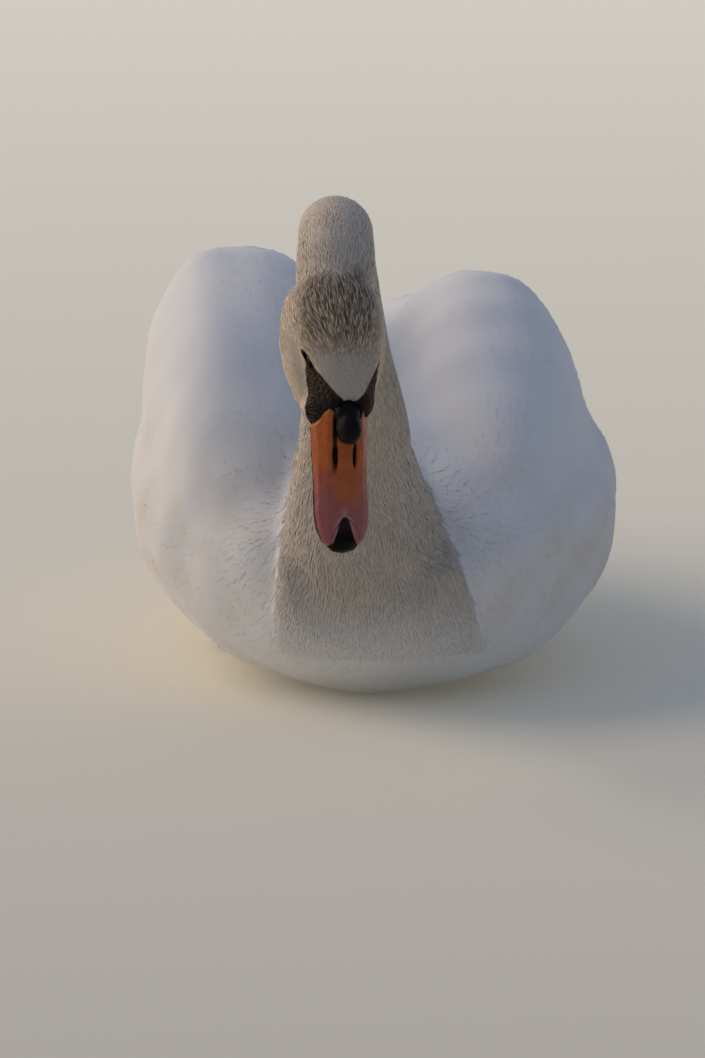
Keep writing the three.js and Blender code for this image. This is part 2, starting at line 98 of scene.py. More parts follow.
def head_place(points):
    """How far forward, to the left side and towards the crown of the head's centre each point is."""
    local = (points - HEAD_CENTRE) @ HEAD_AXES
    return -local[:, 2], local[:, 0], -local[:, 1]


def smooth_line(knots, count):
    """A smooth line through all the knots, sampled evenly from knot to knot."""
    padded = np.vstack([2 * knots[0] - knots[1], knots, 2 * knots[-1] - knots[-2]])
    place = np.linspace(0, len(knots) - 1, count)
    i = np.minimum(place.astype(int), len(knots) - 2)
    t = (place - i)[:, None]
    a, b, c, d = padded[i], padded[i + 1], padded[i + 2], padded[i + 3]
    return 0.5 * (2 * b + (c - a) * t + (2 * a - 5 * b + 4 * c - d) * t ** 2
                  + (3 * b - 3 * c + d - a) * t ** 3)


NECK_SAMPLES = smooth_line(NECK, 161)
NECK_FLOW = np.gradient(NECK_SAMPLES[:, :3], axis=0)
NECK_FLOW /= np.linalg.norm(NECK_FLOW, axis=1, keepdims=True)
BATCH = 20000                    # points compared with the neck's line at one time


def neck_place(points):
    """Place along the neck (0 breast, 1 head), distance from its line over its radius, line direction."""
    nearest = np.zeros(len(points), int)
    for start in range(0, len(points), BATCH):
        part = points[start:start + BATCH, None, :] - NECK_SAMPLES[None, :, :3]
        nearest[start:start + BATCH] = np.argmin((part ** 2).sum(axis=2), axis=1)
    sample = NECK_SAMPLES[nearest]
    away = np.linalg.norm(points - sample[:, :3], axis=1) / sample[:, 3]
    return nearest / (len(NECK_SAMPLES) - 1), away, NECK_FLOW[nearest]


def ramp(value, low, high):
    """0 at low and beyond, 1 at high and beyond, with a soft rise between."""
    t = np.clip((value - low) / (high - low), 0, 1)
    return t * t * (3 - 2 * t)


def mixed(low, high, share):
    """Low where the share is 0, high where it is 1."""
    return low + (high - low) * share


def wander(points, size, seed):
    """Soft unevenness from -1 to 1, whose lumps are about size across."""
    draw = np.random.default_rng(seed)
    turn = draw.normal(size=(7, 3))
    turn *= 2 * math.pi / (size * np.linalg.norm(turn, axis=1, keepdims=True))
    return np.clip(np.sin(points @ turn.T + draw.uniform(0, 2 * math.pi, 7)).mean(axis=1) * 1.9, -1, 1)


def unit(vectors):
    return vectors / np.maximum(np.linalg.norm(vectors, axis=-1, keepdims=True), 1e-9)


def head_share(points):
    """1 on the head, 0 on the neck and body."""
    forward, side, dorsal = head_place(points)
    return ramp(forward, -54, -34) * ramp(dorsal, -66, -52) * (np.abs(side) < 50)


def past_neck_edge(points):
    """How far to the side of the neck's edge on the breast each point is, in millimetres."""
    x, station, height = points.T
    level = 0.0076 * x + 0.1735 * station + 0.985 * height
    across = 0.999 * x - 0.0436 * station
    return np.maximum(across - np.interp(level, BREAST_LEVELS, BREAST_LEFT),
                      np.interp(level, BREAST_LEVELS, BREAST_RIGHT) - across)


def on_breast(points, t):
    """1 on the front of the breast and of the neck's foot, where the neck's edge is drawn."""
    return ramp(points[:, 1], 120, 88) * ramp(t, 0.46, 0.36)


def neck_share(points):
    """1 where the neck's fine plumes grow, 0 on the body and wings."""
    height = points[:, 2]
    t, away, _ = neck_place(points)
    breast = on_breast(points, t)
    edge = past_neck_edge(points) + 1.5 * wander(points, 13, 8)
    inside = ramp(edge, 0.0, -2.4) * (1 - ramp(height, 135, 165) * ramp(away, 1.22, 1.36))
    low = ramp(points[:, 1], 180, 150) * ramp(t, 0.46, 0.36)
    share = breast * inside + (1 - breast) * ramp(away + 0.04 * wander(points, 14, 9), 1.22, 1.08)
    share = share * (1 - low * (1 - inside)) * ramp(points[:, 1] + 3 * wander(points, 17, 10), 98, 76)
    return np.maximum(share * ramp(points[:, 2], 28, 52), ramp(points[:, 1], -32, -46))


def lie(points):
    """The way the feathers lie at each point."""
    x, station, height = points.T
    front = ramp(station, 190, 40)[:, None]
    from_breast = unit(points - np.array([-16.0, 78.0, 165.0]))
    flank = (ramp(np.abs(x), 95, 140) * ramp(height, 80, 120) * (1 - front[:, 0]))[:, None]
    body = (np.array([0, 1.0, 0]) * (1 - 0.75 * front) + from_breast * front
            + np.array([0, 0, 0.16]) * flank)
    t, away, flow = neck_place(points)
    share = (ramp(away, 1.5, 1.1) * ramp(t, 0.03, 0.15))[:, None]
    way = unit(body) * (1 - share) - flow * share
    edge = past_neck_edge(points)
    along_edge = (on_breast(points, t) * ramp(edge, -16, -6) * ramp(edge, 4, 1)
                  * ramp(height, 70, 110))[:, None]
    slope = np.stack([np.where(x > -16, 0.32, -0.12), np.zeros(len(x)), -np.ones(len(x))], axis=1)
    way = unit(way) * (1 - along_edge) + unit(slope) * along_edge
    on_head = head_share(points)[:, None]
    _, side, _ = head_place(points)
    back_of_head = HEAD_AXES[:, 2] + HEAD_AXES[:, 0] * (np.clip(side + 3, -24, 24) * 0.026)[:, None]
    return unit(way * (1 - on_head) + back_of_head * on_head)


def eye_slit(points):
    """Distance from the middle of the nearer eye, as a share of its slanting almond opening."""
    forward, side, dorsal = head_place(points)
    ahead = forward - EYE_FORWARD
    above = dorsal - EYE_DORSAL - LID_SLANT * ahead
    slit = np.sqrt((ahead / LID_REACH) ** 2 + (above / (2.9 - 0.12 * np.clip(ahead, -6, 6))) ** 2)
    return np.where(np.abs(side) > 14, slit, 9.0), above


def markings(points):
    """The bird's colours as masks from 0 to 1, for skin and feathers alike."""
    _, station, height = points.T
    forward, side, dorsal = head_place(points)
    on_head = head_share(points)
    t, _, _ = neck_place(points)
    neck = neck_share(points)
    crown = (ramp(station, -70, -90) * ramp(forward + 4 * wander(points, 26, 3), 13, -20)
             * ramp(forward, -60, -48) * ramp(side, -36, -24) * ramp(side, 30, 14)
             * ramp(dorsal - np.interp(forward, *NAPE), -6, 10))
    grey = (on_head * ramp(np.abs(side + 1), 24, 14) * ramp(dorsal, 0, 12) * (1 - crown)
            + (0.62 + 0.3 * ramp(t, 0.4, 0.15)) * neck * (1 - on_head))
    bare = (ramp(forward - np.interp(side, *FOREHEAD), -0.7, 0.5)
            * ramp(dorsal - np.interp(forward, *LORE_FOOT), -0.9, 0.5)
            * (forward > -4) * (forward < 70) * (np.abs(side) < 36))
    bare = np.maximum(bare, ramp(eye_slit(points)[0], 1.34, 1.16)) * on_head
    stain = (ramp(height, 190, 100) * (1 - neck) * (0.4 + 0.25 * wander(points * [1, 0.4, 1], 34, 5))
             * ramp(height, 30, 90) * (1 - on_head))
    return {"buff": ramp(neck, 0.45, 0.75) * ramp(height, 30, 100), "crown": crown,
            "grey": np.clip(grey, 0, 1), "bare": bare, "stain": np.clip(stain, 0, 1)}


# ---------------- meshes

def placed(name, data):
    thing = bpy.data.objects.new(name, data)
    bpy.context.scene.collection.objects.link(thing)
    return thing


def piece_from(name, mesh, material, slot, *replaced):
    """A smooth visible piece of one material on the root, standing for the replaced CAD nodes."""
    piece = placed(name, mesh)
    mesh.materials.clear()
    mesh.materials.append(material)
    mesh.polygons.foreach_set("use_smooth", np.ones(len(mesh.polygons), bool))
    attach(piece, "root")
    if replaced:
        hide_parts(*replaced)
    return piece


def mesh_of(form, name):
    """The mesh of a form whose bmesh work is done."""
    mesh = bpy.data.meshes.new(name)
    form.to_mesh(mesh)
    form.free()
    return mesh


def reworked(mesh, work):
    """Opens a mesh for bmesh work and closes it again."""
    form = bmesh.new()
    form.from_mesh(mesh)
    work(form)
    form.to_mesh(mesh)
    form.free()


def shell_of(node, grow):
    """A CAD node as one closed shell, moved out by grow millimetres."""
    shell = bmesh.new()
    shell.from_mesh(NODES[node].data)
    bmesh.ops.remove_doubles(shell, verts=shell.verts, dist=1e-6)
    shell.normal_update()
    for corner in shell.verts:
        corner.co += corner.normal * grow * MM
    return shell


def remeshed(name, shells, voxel):
    """One closed mesh round all the shells, in even squares."""
    whole = bmesh.new()
    for shell in shells:
        part = mesh_of(shell, "part")
        whole.from_mesh(part)
        bpy.data.meshes.remove(part)
    mesh = mesh_of(whole, name)
    holder = placed(name, mesh)
    grid = holder.modifiers.new("Remesh", "REMESH")
    grid.mode, grid.voxel_size = "VOXEL", voxel * MM
    bpy.context.view_layer.update()
    result = bpy.data.meshes.new_from_object(holder.evaluated_get(bpy.context.evaluated_depsgraph_get()))
    bpy.data.objects.remove(holder)
    bpy.data.meshes.remove(mesh)
    result.name = name
    return result


def rows_of(items, field, width, kind=float):
    """One field of all the items, as rows of width numbers."""
    values = np.empty(len(items) * width, kind)
    items.foreach_get(field, values)
    return values.reshape(-1, width)


def places(mesh):
    return rows_of(mesh.vertices, "co", 3)


def normals(mesh):
    return rows_of(mesh.vertices, "normal", 3)


def edge_ends(mesh):
    return rows_of(mesh.edges, "vertices", 2, np.int32)


def move_to(mesh, points):
    mesh.vertices.foreach_set("co", np.ascontiguousarray(points, np.float32).ravel())
    mesh.update()


def evened(values, ends, rounds, share=0.5):
    """Each value drawn towards the middle of its neighbours', over and over."""
    values = np.asarray(values, float).copy()
    flat = values.reshape(len(values), -1)
    count = np.bincount(ends.ravel(), minlength=len(flat)).astype(float)
    for _ in range(rounds):
        for column in range(flat.shape[1]):
            line = flat[:, column].copy()
            total = (np.bincount(ends[:, 0], weights=line[ends[:, 1]], minlength=len(line))
                     + np.bincount(ends[:, 1], weights=line[ends[:, 0]], minlength=len(line)))
            flat[:, column] = line + share * (total / np.maximum(count, 1) - line)
    return flat.reshape(values.shape)


def put_values(mesh, values):
    for name, numbers in values.items():
        layer = mesh.attributes.new(name, "FLOAT", "POINT")
        layer.data.foreach_set("value", np.ascontiguousarray(numbers, np.float32))


# ---------------- materials

class Nodes:
    """Short ways to place and join the nodes of one tree."""

    def __init__(self, tree, material=None):
        self.tree, self.material = tree, material

    def add(self, kind, **settings):
        node = self.tree.nodes.new(kind)
        for name, value in settings.items():
            setattr(node, name, value)
        return node

    def feed(self, socket, value):
        """Joins an output to a socket, or sets it; a plain colour is a tuple of three."""
        if isinstance(value, bpy.types.NodeSocket):
            self.tree.links.new(value, socket)
        else:
            socket.default_value = (*value, 1.0) if isinstance(value, tuple) else value

    def surface(self, **sockets):
        """Feeds the surface shader's own sockets, and gives the material back."""
        for name, value in sockets.items():
            self.feed(self.tree.nodes["Principled BSDF"].inputs[name.replace("_", " ")], value)
        return self.material

    def value(self, name):
        return self.add("ShaderNodeAttribute", attribute_name=name).outputs["Fac"]

    def place(self):
        return self.add("ShaderNodeTexCoord").outputs["Object"]

    def part(self, axis, place):
        split = self.add("ShaderNodeSeparateXYZ")
        self.feed(split.inputs[0], place)
        return split.outputs[axis]

    def maths(self, operation, first, second=0.0, clamp=False):
        node = self.add("ShaderNodeMath", operation=operation, use_clamp=clamp)
        self.feed(node.inputs[0], first)
        self.feed(node.inputs[1], second)
        return node.outputs[0]

    def plus(self, first, second, clamp=False):
        return self.maths("ADD", first, second, clamp)

    def times(self, first, second):
        return self.maths("MULTIPLY", first, second)

    def mix(self, share, first, second, blend="MIX"):
        node = self.add("ShaderNodeMix", data_type="RGBA", blend_type=blend)
        for label, value in zip(("Factor", "A", "B"), (share, first, second)):
            self.feed(node.inputs[label], value)
        return node.outputs["Result"]

    def noise(self, scale, detail):
        node = self.add("ShaderNodeTexNoise")
        for label, value in zip(("Vector", "Scale", "Detail"), (self.place(), scale, detail)):
            self.feed(node.inputs[label], value)
        return node.outputs["Fac"]

    def cells(self, scale, feature="F1"):
        node = self.add("ShaderNodeTexVoronoi", feature=feature)
        self.feed(node.inputs["Vector"], self.place())
        self.feed(node.inputs["Scale"], scale)
        return node.outputs["Distance"]

    def fitted(self, value, low, high, new_low=0.0, new_high=1.0):
        node = self.add("ShaderNodeMapRange", clamp=True)
        for socket, number in zip(node.inputs[:5], (value, low, high, new_low, new_high)):
            self.feed(socket, number)
        return node.outputs["Result"]

    def bump(self, height, strength, distance):
        node = self.add("ShaderNodeBump")
        for label, value in zip(("Height", "Strength", "Distance"), (height, strength, distance)):
            self.feed(node.inputs[label], value)
        return node.outputs["Normal"]


def new_material(name, **constants):
    """The nodes of a new Principled material, its constants set on the shader's own sockets."""
    material = bpy.data.materials.new(name)
    material.use_nodes = True
    nodes = Nodes(material.node_tree, material)
    nodes.surface(**constants)
    return nodes


WHITE = (0.72, 0.72, 0.725)
BUFF = (0.79, 0.645, 0.48)
GREY_BUFF = (0.50, 0.452, 0.39)
STAIN = (0.60, 0.52, 0.40)
CROWN_BROWN = (0.092, 0.055, 0.025)
BARE_BLACK = (0.007, 0.005, 0.004)

# Along is no marking: it sets the painted shade at each vane's root
MARKS = ("Buff", "Grey", "Stain", "Crown", "Bare", "Shade", "Along")


def plumage_tint():
    """The colour of the plumage from the bird's markings, with painted shade at each vane's root; Shade sets
    each vane a little apart.
    """
    group = bpy.data.node_groups.new("plumage_tint", "ShaderNodeTree")
    for label in MARKS:
        group.interface.new_socket(label, in_out="INPUT", socket_type="NodeSocketFloat")
    group.interface.new_socket("Color", in_out="OUTPUT", socket_type="NodeSocketColor")
    nodes = Nodes(group)
    given = nodes.add("NodeGroupInput").outputs
    mottle = nodes.noise(55, 4)
    base = nodes.mix(given["Buff"], WHITE, nodes.mix(given["Grey"], BUFF, GREY_BUFF))
    base = nodes.mix(nodes.times(given["Stain"], nodes.fitted(mottle, 0.3, 0.7, 0.35, 1.0)), base, STAIN)
    uneven = nodes.plus(nodes.times(given["Shade"], 0.6), nodes.times(mottle, 0.5))
    streak = nodes.times(given["Buff"], nodes.fitted(uneven, 0.35, 0.95, 0.0, 0.42))
    base = nodes.mix(streak, base, (0.20, 0.17, 0.14))
    brown = nodes.times(given["Crown"], nodes.fitted(given["Shade"], 0.15, 0.75, 0.3, 1.0))
    base = nodes.mix(brown, base, CROWN_BROWN)
    # painted shade: each vane darker towards its root, where it lies under the vanes before it
    base = nodes.mix(nodes.fitted(given["Along"], 0.0, 0.45, 0.07, 0.0), base, (0.12, 0.10, 0.09))
    nodes.feed(nodes.add("NodeGroupOutput").inputs["Color"], nodes.mix(given["Bare"], base, BARE_BLACK))
    return group


PLUMAGE_TINT = plumage_tint()


def tinted(nodes, **given):
    """The plumage's colour; the markings that aren't given come from the mesh."""
    tint = nodes.add("ShaderNodeGroup", node_tree=PLUMAGE_TINT)
    for label in MARKS:
        nodes.feed(tint.inputs[label], given[label] if label in given else nodes.value(label.lower()))
    return tint.outputs["Color"]


def plumage(name, barbs):
    """Feathers: matt with a faint sheen; barbs sets how close the vanes' ribs lie."""
    nodes = new_material(
        name, Roughness=0.8, Sheen_Weight=0.12, Sheen_Roughness=0.6, Specular_IOR_Level=0.25)
    slant = nodes.times(nodes.maths("ABSOLUTE", nodes.value("across")), -barbs * 0.22)
    ribs = nodes.maths("SINE", nodes.plus(nodes.times(nodes.value("along"), barbs), slant))
    grain = nodes.plus(nodes.times(ribs, 0.4), nodes.noise(420, 2))
    return nodes.surface(Base_Color=tinted(nodes), Normal=nodes.bump(grain, 0.18, 0.0005))


def bare_skin():
    """The skin under the feathers, black and finely specked where it is bare."""
    nodes = new_material("skin_under_feathers", Roughness=0.8, Specular_IOR_Level=0.1)
    bare = nodes.value("bare")
    speck = nodes.times(nodes.times(bare, nodes.value("speck")),
                        nodes.fitted(nodes.noise(1000, 3), 0.48, 0.62, 0.0, 0.75))
    # Along 0.2 gives the skin under the feathers a little of the painted root shade
    tint = tinted(nodes, Shade=nodes.noise(300, 2), Along=0.2)
    return nodes.surface(Base_Color=nodes.mix(speck, tint, (0.140, 0.096, 0.064)),
                         Roughness=nodes.fitted(bare, 0.0, 1.0, 0.85, 0.6),
                         Normal=nodes.bump(nodes.cells(750), 0.7, 0.0008))


def bill_horn():
    """The bill's horn: the masks in its vertices give orange, the blush at the tip, a painted highlight round
    the nail's bell and black.
    """
    nodes = new_material(
        "bill_horn", Roughness=0.36, Specular_IOR_Level=0.06, Coat_Weight=0.1, Coat_Roughness=0.16)
    cloud = nodes.noise(70, 4)
    orange = nodes.mix(nodes.fitted(cloud, 0.35, 0.65), (0.41, 0.10, 0.013), (0.32, 0.066, 0.013))
    warm = nodes.mix(nodes.value("blush"), orange, (0.27, 0.085, 0.085))
    # painted highlight: a paler mauve halo round the top of the nail's black bell
    warm = nodes.mix(nodes.value("pale"), warm, (0.33, 0.17, 0.175))
    warm = nodes.mix(nodes.fitted(nodes.noise(260, 5), 0.45, 0.8, 0.0, 0.35), warm, (0.20, 0.045, 0.03))
    broken = nodes.times(nodes.fitted(cloud, 0.3, 0.7, -0.3, 0.3), nodes.value("edge"))
    inked = nodes.plus(nodes.value("ink"), broken, clamp=True)
    ripple = nodes.plus(nodes.noise(240, 3), nodes.times(nodes.noise(900, 2), 0.4))
    return nodes.surface(Base_Color=nodes.mix(inked, warm, (0.0015, 0.0015, 0.0017)),
                         Coat_Weight=nodes.fitted(inked, 0.0, 0.8, 0.38, 0.0),
                         Roughness=nodes.fitted(nodes.noise(180, 3), 0.3, 0.7, 0.28, 0.48),
                         Normal=nodes.bump(ripple, 0.22, 0.0005))


def knob_skin(name):
    nodes = new_material(name, Roughness=0.38, Specular_IOR_Level=0.08)
    tone = nodes.noise(160, 3)
    return nodes.surface(Base_Color=nodes.mix(tone, (0.002, 0.002, 0.002), (0.008, 0.007, 0.007)),
                         Roughness=nodes.fitted(tone, 0.3, 0.7, 0.34, 0.52),
                         Normal=nodes.bump(nodes.cells(900), 0.35, 0.0005))


def eye_surface():
    """A dark eye; gaze, in its vertices, is 1 at the middle of the pupil."""
    nodes = new_material("eye_surface", Specular_IOR_Level=0.1, Coat_Weight=0.2, Coat_Roughness=0.03)
    gaze = nodes.value("gaze")
    ring = nodes.mix(nodes.fitted(gaze, 0.70, 0.93), (0.010, 0.007, 0.006), (0.055, 0.022, 0.010))
    fleck = nodes.mix(nodes.fitted(nodes.noise(1500, 3), 0.35, 0.7), ring, (0.02, 0.010, 0.006))
    return nodes.surface(Base_Color=nodes.mix(nodes.fitted(gaze, 0.915, 0.93), fleck, (0.001, 0.001, 0.001)),
                         Roughness=nodes.fitted(gaze, 0.5, 0.9, 0.3, 0.06))


def foot_skin():
    nodes = new_material("foot_skin", Roughness=0.6, Specular_IOR_Level=0.4)
    tone = nodes.noise(60, 4)
    grey = nodes.mix(tone, (0.012, 0.012, 0.013), (0.055, 0.052, 0.050))
    # painted shade: the creases between the scales are painted darker as well as sunk by the bump
    crease = nodes.fitted(nodes.cells(320, "DISTANCE_TO_EDGE"), 0.0, 0.12)
    return nodes.surface(Base_Color=nodes.mix(crease, (0.006, 0.006, 0.006), grey),
                         Roughness=nodes.fitted(tone, 0.3, 0.7, 0.5, 0.75),
                         Normal=nodes.bump(crease, 0.6, 0.0008))


def claw_horn():
    nodes = new_material("claw_horn", Roughness=0.35)
    tone = nodes.noise(400, 3)
    return nodes.surface(Base_Color=nodes.mix(tone, (0.01, 0.009, 0.008), (0.05, 0.045, 0.04)),
                         Normal=nodes.bump(tone, 0.2, 0.0004))


# ---------------- skin

FLESH = ("trunk", "neck_1", "neck_2", "neck_3", "neck_4", "head", "wing_right", "wing_left")
FLESH_GROWTH = 0.6               # how far the fleshy solids swell, in millimetres, to merge
HORN_SINK = 1.6                  # how far the bill's and eyes' solids shrink, to close the head behind them
SKIN_VOXEL = 3.8
HEAD_COAT = 0.9
NECK_COAT = 1.7
BODY_COAT = 2.8


def coat_depth(points):
    """How deep the feathers are over the skin, in millimetres."""
    depth = BODY_COAT + (NECK_COAT - BODY_COAT) * neck_share(points)
    on_head = head_share(points)
    depth = depth + (HEAD_COAT - depth) * on_head
    under_horn = 3.0 * on_head * ramp(head_place(points)[0], 40, 46)
    return depth * (1 - markings(points)["bare"] * 0.7) + under_horn


def cad_tree(nodes):
    """CAD nodes as one tree of faces; and for each face, whether it is on a wing."""
    corners, faces, winged = [], [], []
    for node in nodes:
        mesh = NODES[node].data
        start = len(corners)
        corners += [v.co.copy() for v in mesh.vertices]
        faces += [[start + i for i in p.vertices] for p in mesh.polygons]
        winged += [node.startswith("wing")] * len(mesh.polygons)
    return BVHTree.FromPolygons(corners, faces), np.array(winged)


def soft_lumps(points):
    """Where the coat lies fuller or flatter over the wings, flanks and right cheek, in millimetres."""
    on_head = head_share(points)
    share = (1 - on_head) * (1 - neck_share(points))
    _, side, _ = head_place(points)
    height = points[:, 2]
    fuller = 0.8 * ramp(height, 120, 155) * ramp(height, 260, 215) * neck_share(points) * (1 - on_head)
    return (share * (1.8 * wander(points, 95, 11) + 1.2 * wander(points, 52, 12) - 1.0)
            + 1.6 * on_head * ramp(side, -16, -26) + fuller)


def neck_fold(points):
    """The hollow beside the neck's foot, where its plumes end over the breast, in millimetres."""
    t, _, _ = neck_place(points)
    past = past_neck_edge(points)
    hollow = np.where(past > -1.5, np.exp(-(np.maximum(past - 3.5, 0) / 11) ** 2) * ramp(past, -1.5, 3.5), 0)
    return hollow * on_breast(points, t) * ramp(points[:, 2], 55, 95)


def split_faces(mesh, wanted):
    """Splits each face in four where its middle is wanted."""
    def split(form):
        faces = list(form.faces)
        chosen = wanted(to_bird(np.array([face.calc_center_median() for face in faces])))
        edges = dict.fromkeys(edge for face, here in zip(faces, chosen) if here for edge in face.edges)
        bmesh.ops.subdivide_edges(form, edges=list(edges), cuts=1, use_grid_fill=True)
        bmesh.ops.triangulate(form, faces=[face for face in form.faces if len(face.verts) > 4])

    reworked(mesh, split)


def face_folds(points):
    """Eye openings with their lids, the brow and the fold from the eye to the bill, in millimetres."""
    forward, side, dorsal = head_place(points)
    slit, above = eye_slit(points)
    folds = -2.6 * ramp(slit, 1.02, 0.78) + 0.42 * np.exp(-((slit - 1.2) / 0.14) ** 2)
    folds += 0.75 * np.exp(-((slit - 2.1) / 0.5) ** 2) * ramp(above, -0.5, 2.5)
    folds -= 0.35 * np.exp(-((slit - 1.6) / 0.2) ** 2) * ramp(above, -0.5, 1.5)
    lore = markings(points)["bare"] * ramp(slit, 1.3, 1.7)
    folds += lore * (0.28 * wander(points, 5.0, 61) + 0.2 * wander(points, 2.6, 62))
    folds += 1.3 * lore * np.exp(-((forward - 32) / 5) ** 2 - ((side - BILL_SIDE) / 9) ** 2)
    gape = dorsal - np.interp(forward, *GAPE)
    folds -= 0.5 * np.exp(-(gape / 1.3) ** 2) * ramp(forward, 12, 26) * ramp(np.abs(side), 8, 14)
    return folds * (forward > -14) * (forward < 60)


def cheeks_out(points):
    """Moves skin and horn at the corners of the mouth out sideways, to where the bill's base flares."""
    forward, side, dorsal = head_place(points)
    most = np.where(side < 0, np.interp(forward, *CHEEK_RIGHT), np.interp(forward, *CHEEK_LEFT))
    share = ramp(np.abs(side), 9, 18) * ramp(dorsal, 12, 0) * ramp(dorsal, -34, -20)
    return points + (most * share * np.sign(side))[:, None] * HEAD_AXES[:, 0]


def build_skin():
    """The fleshy solids as one skin: smoothed, laid back on their surface, sunk by the coat's depth."""
    shells = [shell_of(node, FLESH_GROWTH) for node in FLESH]
    shells += [shell_of(node, -HORN_SINK)
               for node in ("bill_upper", "bill_lower", "bill_nail", "eye_left", "eye_right")]
    mesh = remeshed("skin", shells, SKIN_VOXEL)
    ends = edge_ends(mesh)
    points = evened(places(mesh), ends, 12)
    bird = to_bird(points)
    slow = 0.5 * (1 - neck_share(bird)) * (1 - head_share(bird)) * ramp(bird[:, 1], -20, 30)
    points = evened(points, ends, 70, slow)
    outside, _ = cad_tree(FLESH + ("bill_upper", "bill_lower", "bill_nail", "bill_knob"))
    for rounds in (60, 30):
        move_to(mesh, points)
        way = normals(mesh)
        error = np.zeros(len(points))
        for i, (point, outward) in enumerate(zip(points, way)):
            near, _, _, distance = outside.find_nearest(Vector(point))
            error[i] = math.copysign(distance, (Vector(point) - near).dot(Vector(outward)))
        error = evened(evened(error, ends, rounds, slow), ends, 5, 0.5)
        bird = to_bird(points)
        points = points - way * error[:, None]
    points = points - way * ((coat_depth(bird) - soft_lumps(bird) + 3.4 * neck_fold(bird)) * MM)[:, None]
    move_to(mesh, points)
    for wanted in (lambda p: head_share(p) > 0.3,
                   lambda p: (head_share(p) > 0.6) & (head_place(p)[0] > -20) & (head_place(p)[2] > -22)):
        split_faces(mesh, wanted)
        points = places(mesh)
        move_to(mesh, evened(points, edge_ends(mesh), 2, 0.5 * wanted(to_bird(points))))
    move_to(mesh, to_metres(cheeks_out(to_bird(places(mesh)))))
    points = places(mesh)
    points = points + normals(mesh) * (face_folds(to_bird(points)) * MM)[:, None]
    points[:, 2] = np.maximum(points[:, 2], SKIN_FLOOR)
    move_to(mesh, points)
    bird = to_bird(points)
    forward, side, _ = head_place(bird)
    put_values(mesh, {**markings(bird), "speck": ramp(np.hypot(forward - 38, side - BILL_SIDE), 12, 22)})
    return mesh


skin_mesh = build_skin()
skin = piece_from("skin", skin_mesh, bare_skin(), "plumage", *FLESH)

# ---------------- feathers over the skin

def unwrap(piece):
    """An unwrap of the skin's own shape, which places each feather's patch."""
    reworked(piece.data, lambda form: bmesh.ops.triangulate(form, faces=form.faces))
    piece.data.uv_layers.new(name="OFBake")
    bpy.context.view_layer.objects.active = piece
    piece.select_set(True)
    bpy.ops.object.mode_set(mode="EDIT")
    bpy.ops.mesh.select_all(action="SELECT")
    bpy.ops.uv.smart_project(angle_limit=1.15, island_margin=0.003)
    bpy.ops.object.mode_set(mode="OBJECT")
    piece.select_set(False)


unwrap(skin)
SKIN_POINTS = places(skin_mesh)
SKIN_NORMALS = normals(skin_mesh)
SKIN_FACES = rows_of(skin_mesh.polygons, "vertices", 3, np.int32)
SKIN_UNWRAP = rows_of(skin_mesh.uv_layers["OFBake"].data, "uv", 2).reshape(-1, 3, 2)
SKIN_TREE = BVHTree.FromPolygons([tuple(p) for p in SKIN_POINTS], SKIN_FACES.tolist())
COAT_LIMIT = 190000              # triangles in one piece of the coat
CROWDING = 3.2                   # places drawn for each one that there is room for
PATCH = 0.003                    # how wide a feather's patch is on the unwrap


def weights_on(points, faces):
    """How near each point is to its face's three corners, as shares that add up to one."""
    a, b, c = (SKIN_POINTS[SKIN_FACES[faces, i]] for i in range(3))
    ab, ac, ap = b - a, c - a, points - a
    dot = lambda u, v: (u * v).sum(axis=-1)
    d00, d01, d11, d20, d21 = dot(ab, ab), dot(ab, ac), dot(ac, ac), dot(ap, ab), dot(ap, ac)
    below = np.maximum(d00 * d11 - d01 * d01, 1e-18)
    v = (d11 * d20 - d01 * d21) / below
    w = (d00 * d21 - d01 * d20) / below
    shares = np.clip(np.stack([1 - v - w, v, w], axis=-1), 0, 1)
    return shares / shares.sum(axis=-1, keepdims=True)


def skin_normals(points, faces):
    """The skin's smooth normals at points on its faces."""
    return unit((SKIN_NORMALS[SKIN_FACES[faces]] * weights_on(points, faces)[..., None]).sum(axis=-2))


def nearest_skin(points):
    """The nearest place on the skin to each point, and the face it is on."""
    found = [SKIN_TREE.find_nearest(Vector(p)) for p in points]
    return np.array([f[0] for f in found]), np.array([f[2] for f in found])


def scattered(spacing, wanted, seed):
    """Places spread evenly over the skin where wanted, spacing millimetres apart; and their faces."""
    draw = np.random.default_rng(seed)
    corners = SKIN_POINTS[SKIN_FACES]
    middle = to_bird(corners.mean(axis=1))
    area = np.linalg.norm(np.cross(corners[:, 1] - corners[:, 0], corners[:, 2] - corners[:, 0]), axis=1) / 2
    need = area / MM ** 2 * wanted(middle) / spacing(middle) ** 2 * CROWDING
    faces = draw.choice(len(need), int(need.sum()), p=need / need.sum())
    u, v = draw.random((2, len(faces)))
    over = u + v > 1
    u[over], v[over] = 1 - u[over], 1 - v[over]
    shares = np.stack([1 - u - v, u, v], axis=1)
    points = (corners[faces] * shares[..., None]).sum(axis=1)
    gap = spacing(to_bird(points)) * MM
    tree = KDTree(len(points))
    for i, point in enumerate(points):
        tree.insert(point, i)
    tree.balance()
    free = np.ones(len(points), bool)
    kept = []
    for i in range(len(points)):
        if free[i]:
            kept.append(i)
            for _, j, _ in tree.find_range(points[i], gap[i]):
                free[j] = False
    kept = np.array(kept)
    kept = kept[wanted(to_bird(points[kept])) > 0.5]
    return points[kept], faces[kept]


def combed(roots, ways, lengths, steps):
    """Lines that start at the roots and follow the skin; and the skin's normals along them."""
    lines = np.empty((len(roots), steps + 1, 3))
    faces = np.empty((len(roots), steps + 1), int)
    find = SKIN_TREE.find_nearest
    for i, (root, way, length) in enumerate(zip(roots, ways, lengths)):
        stride = float(length) / steps
        here, heading = Vector(root), Vector(way)
        last = None
        for k in range(steps + 1):
            near, _, face, _ = find(here)
            lines[i, k] = near
            faces[i, k] = face
            if last is not None:
                heading = (near - last).normalized()
            last = near
            here = near + heading * stride
    return lines, skin_normals(lines, faces)


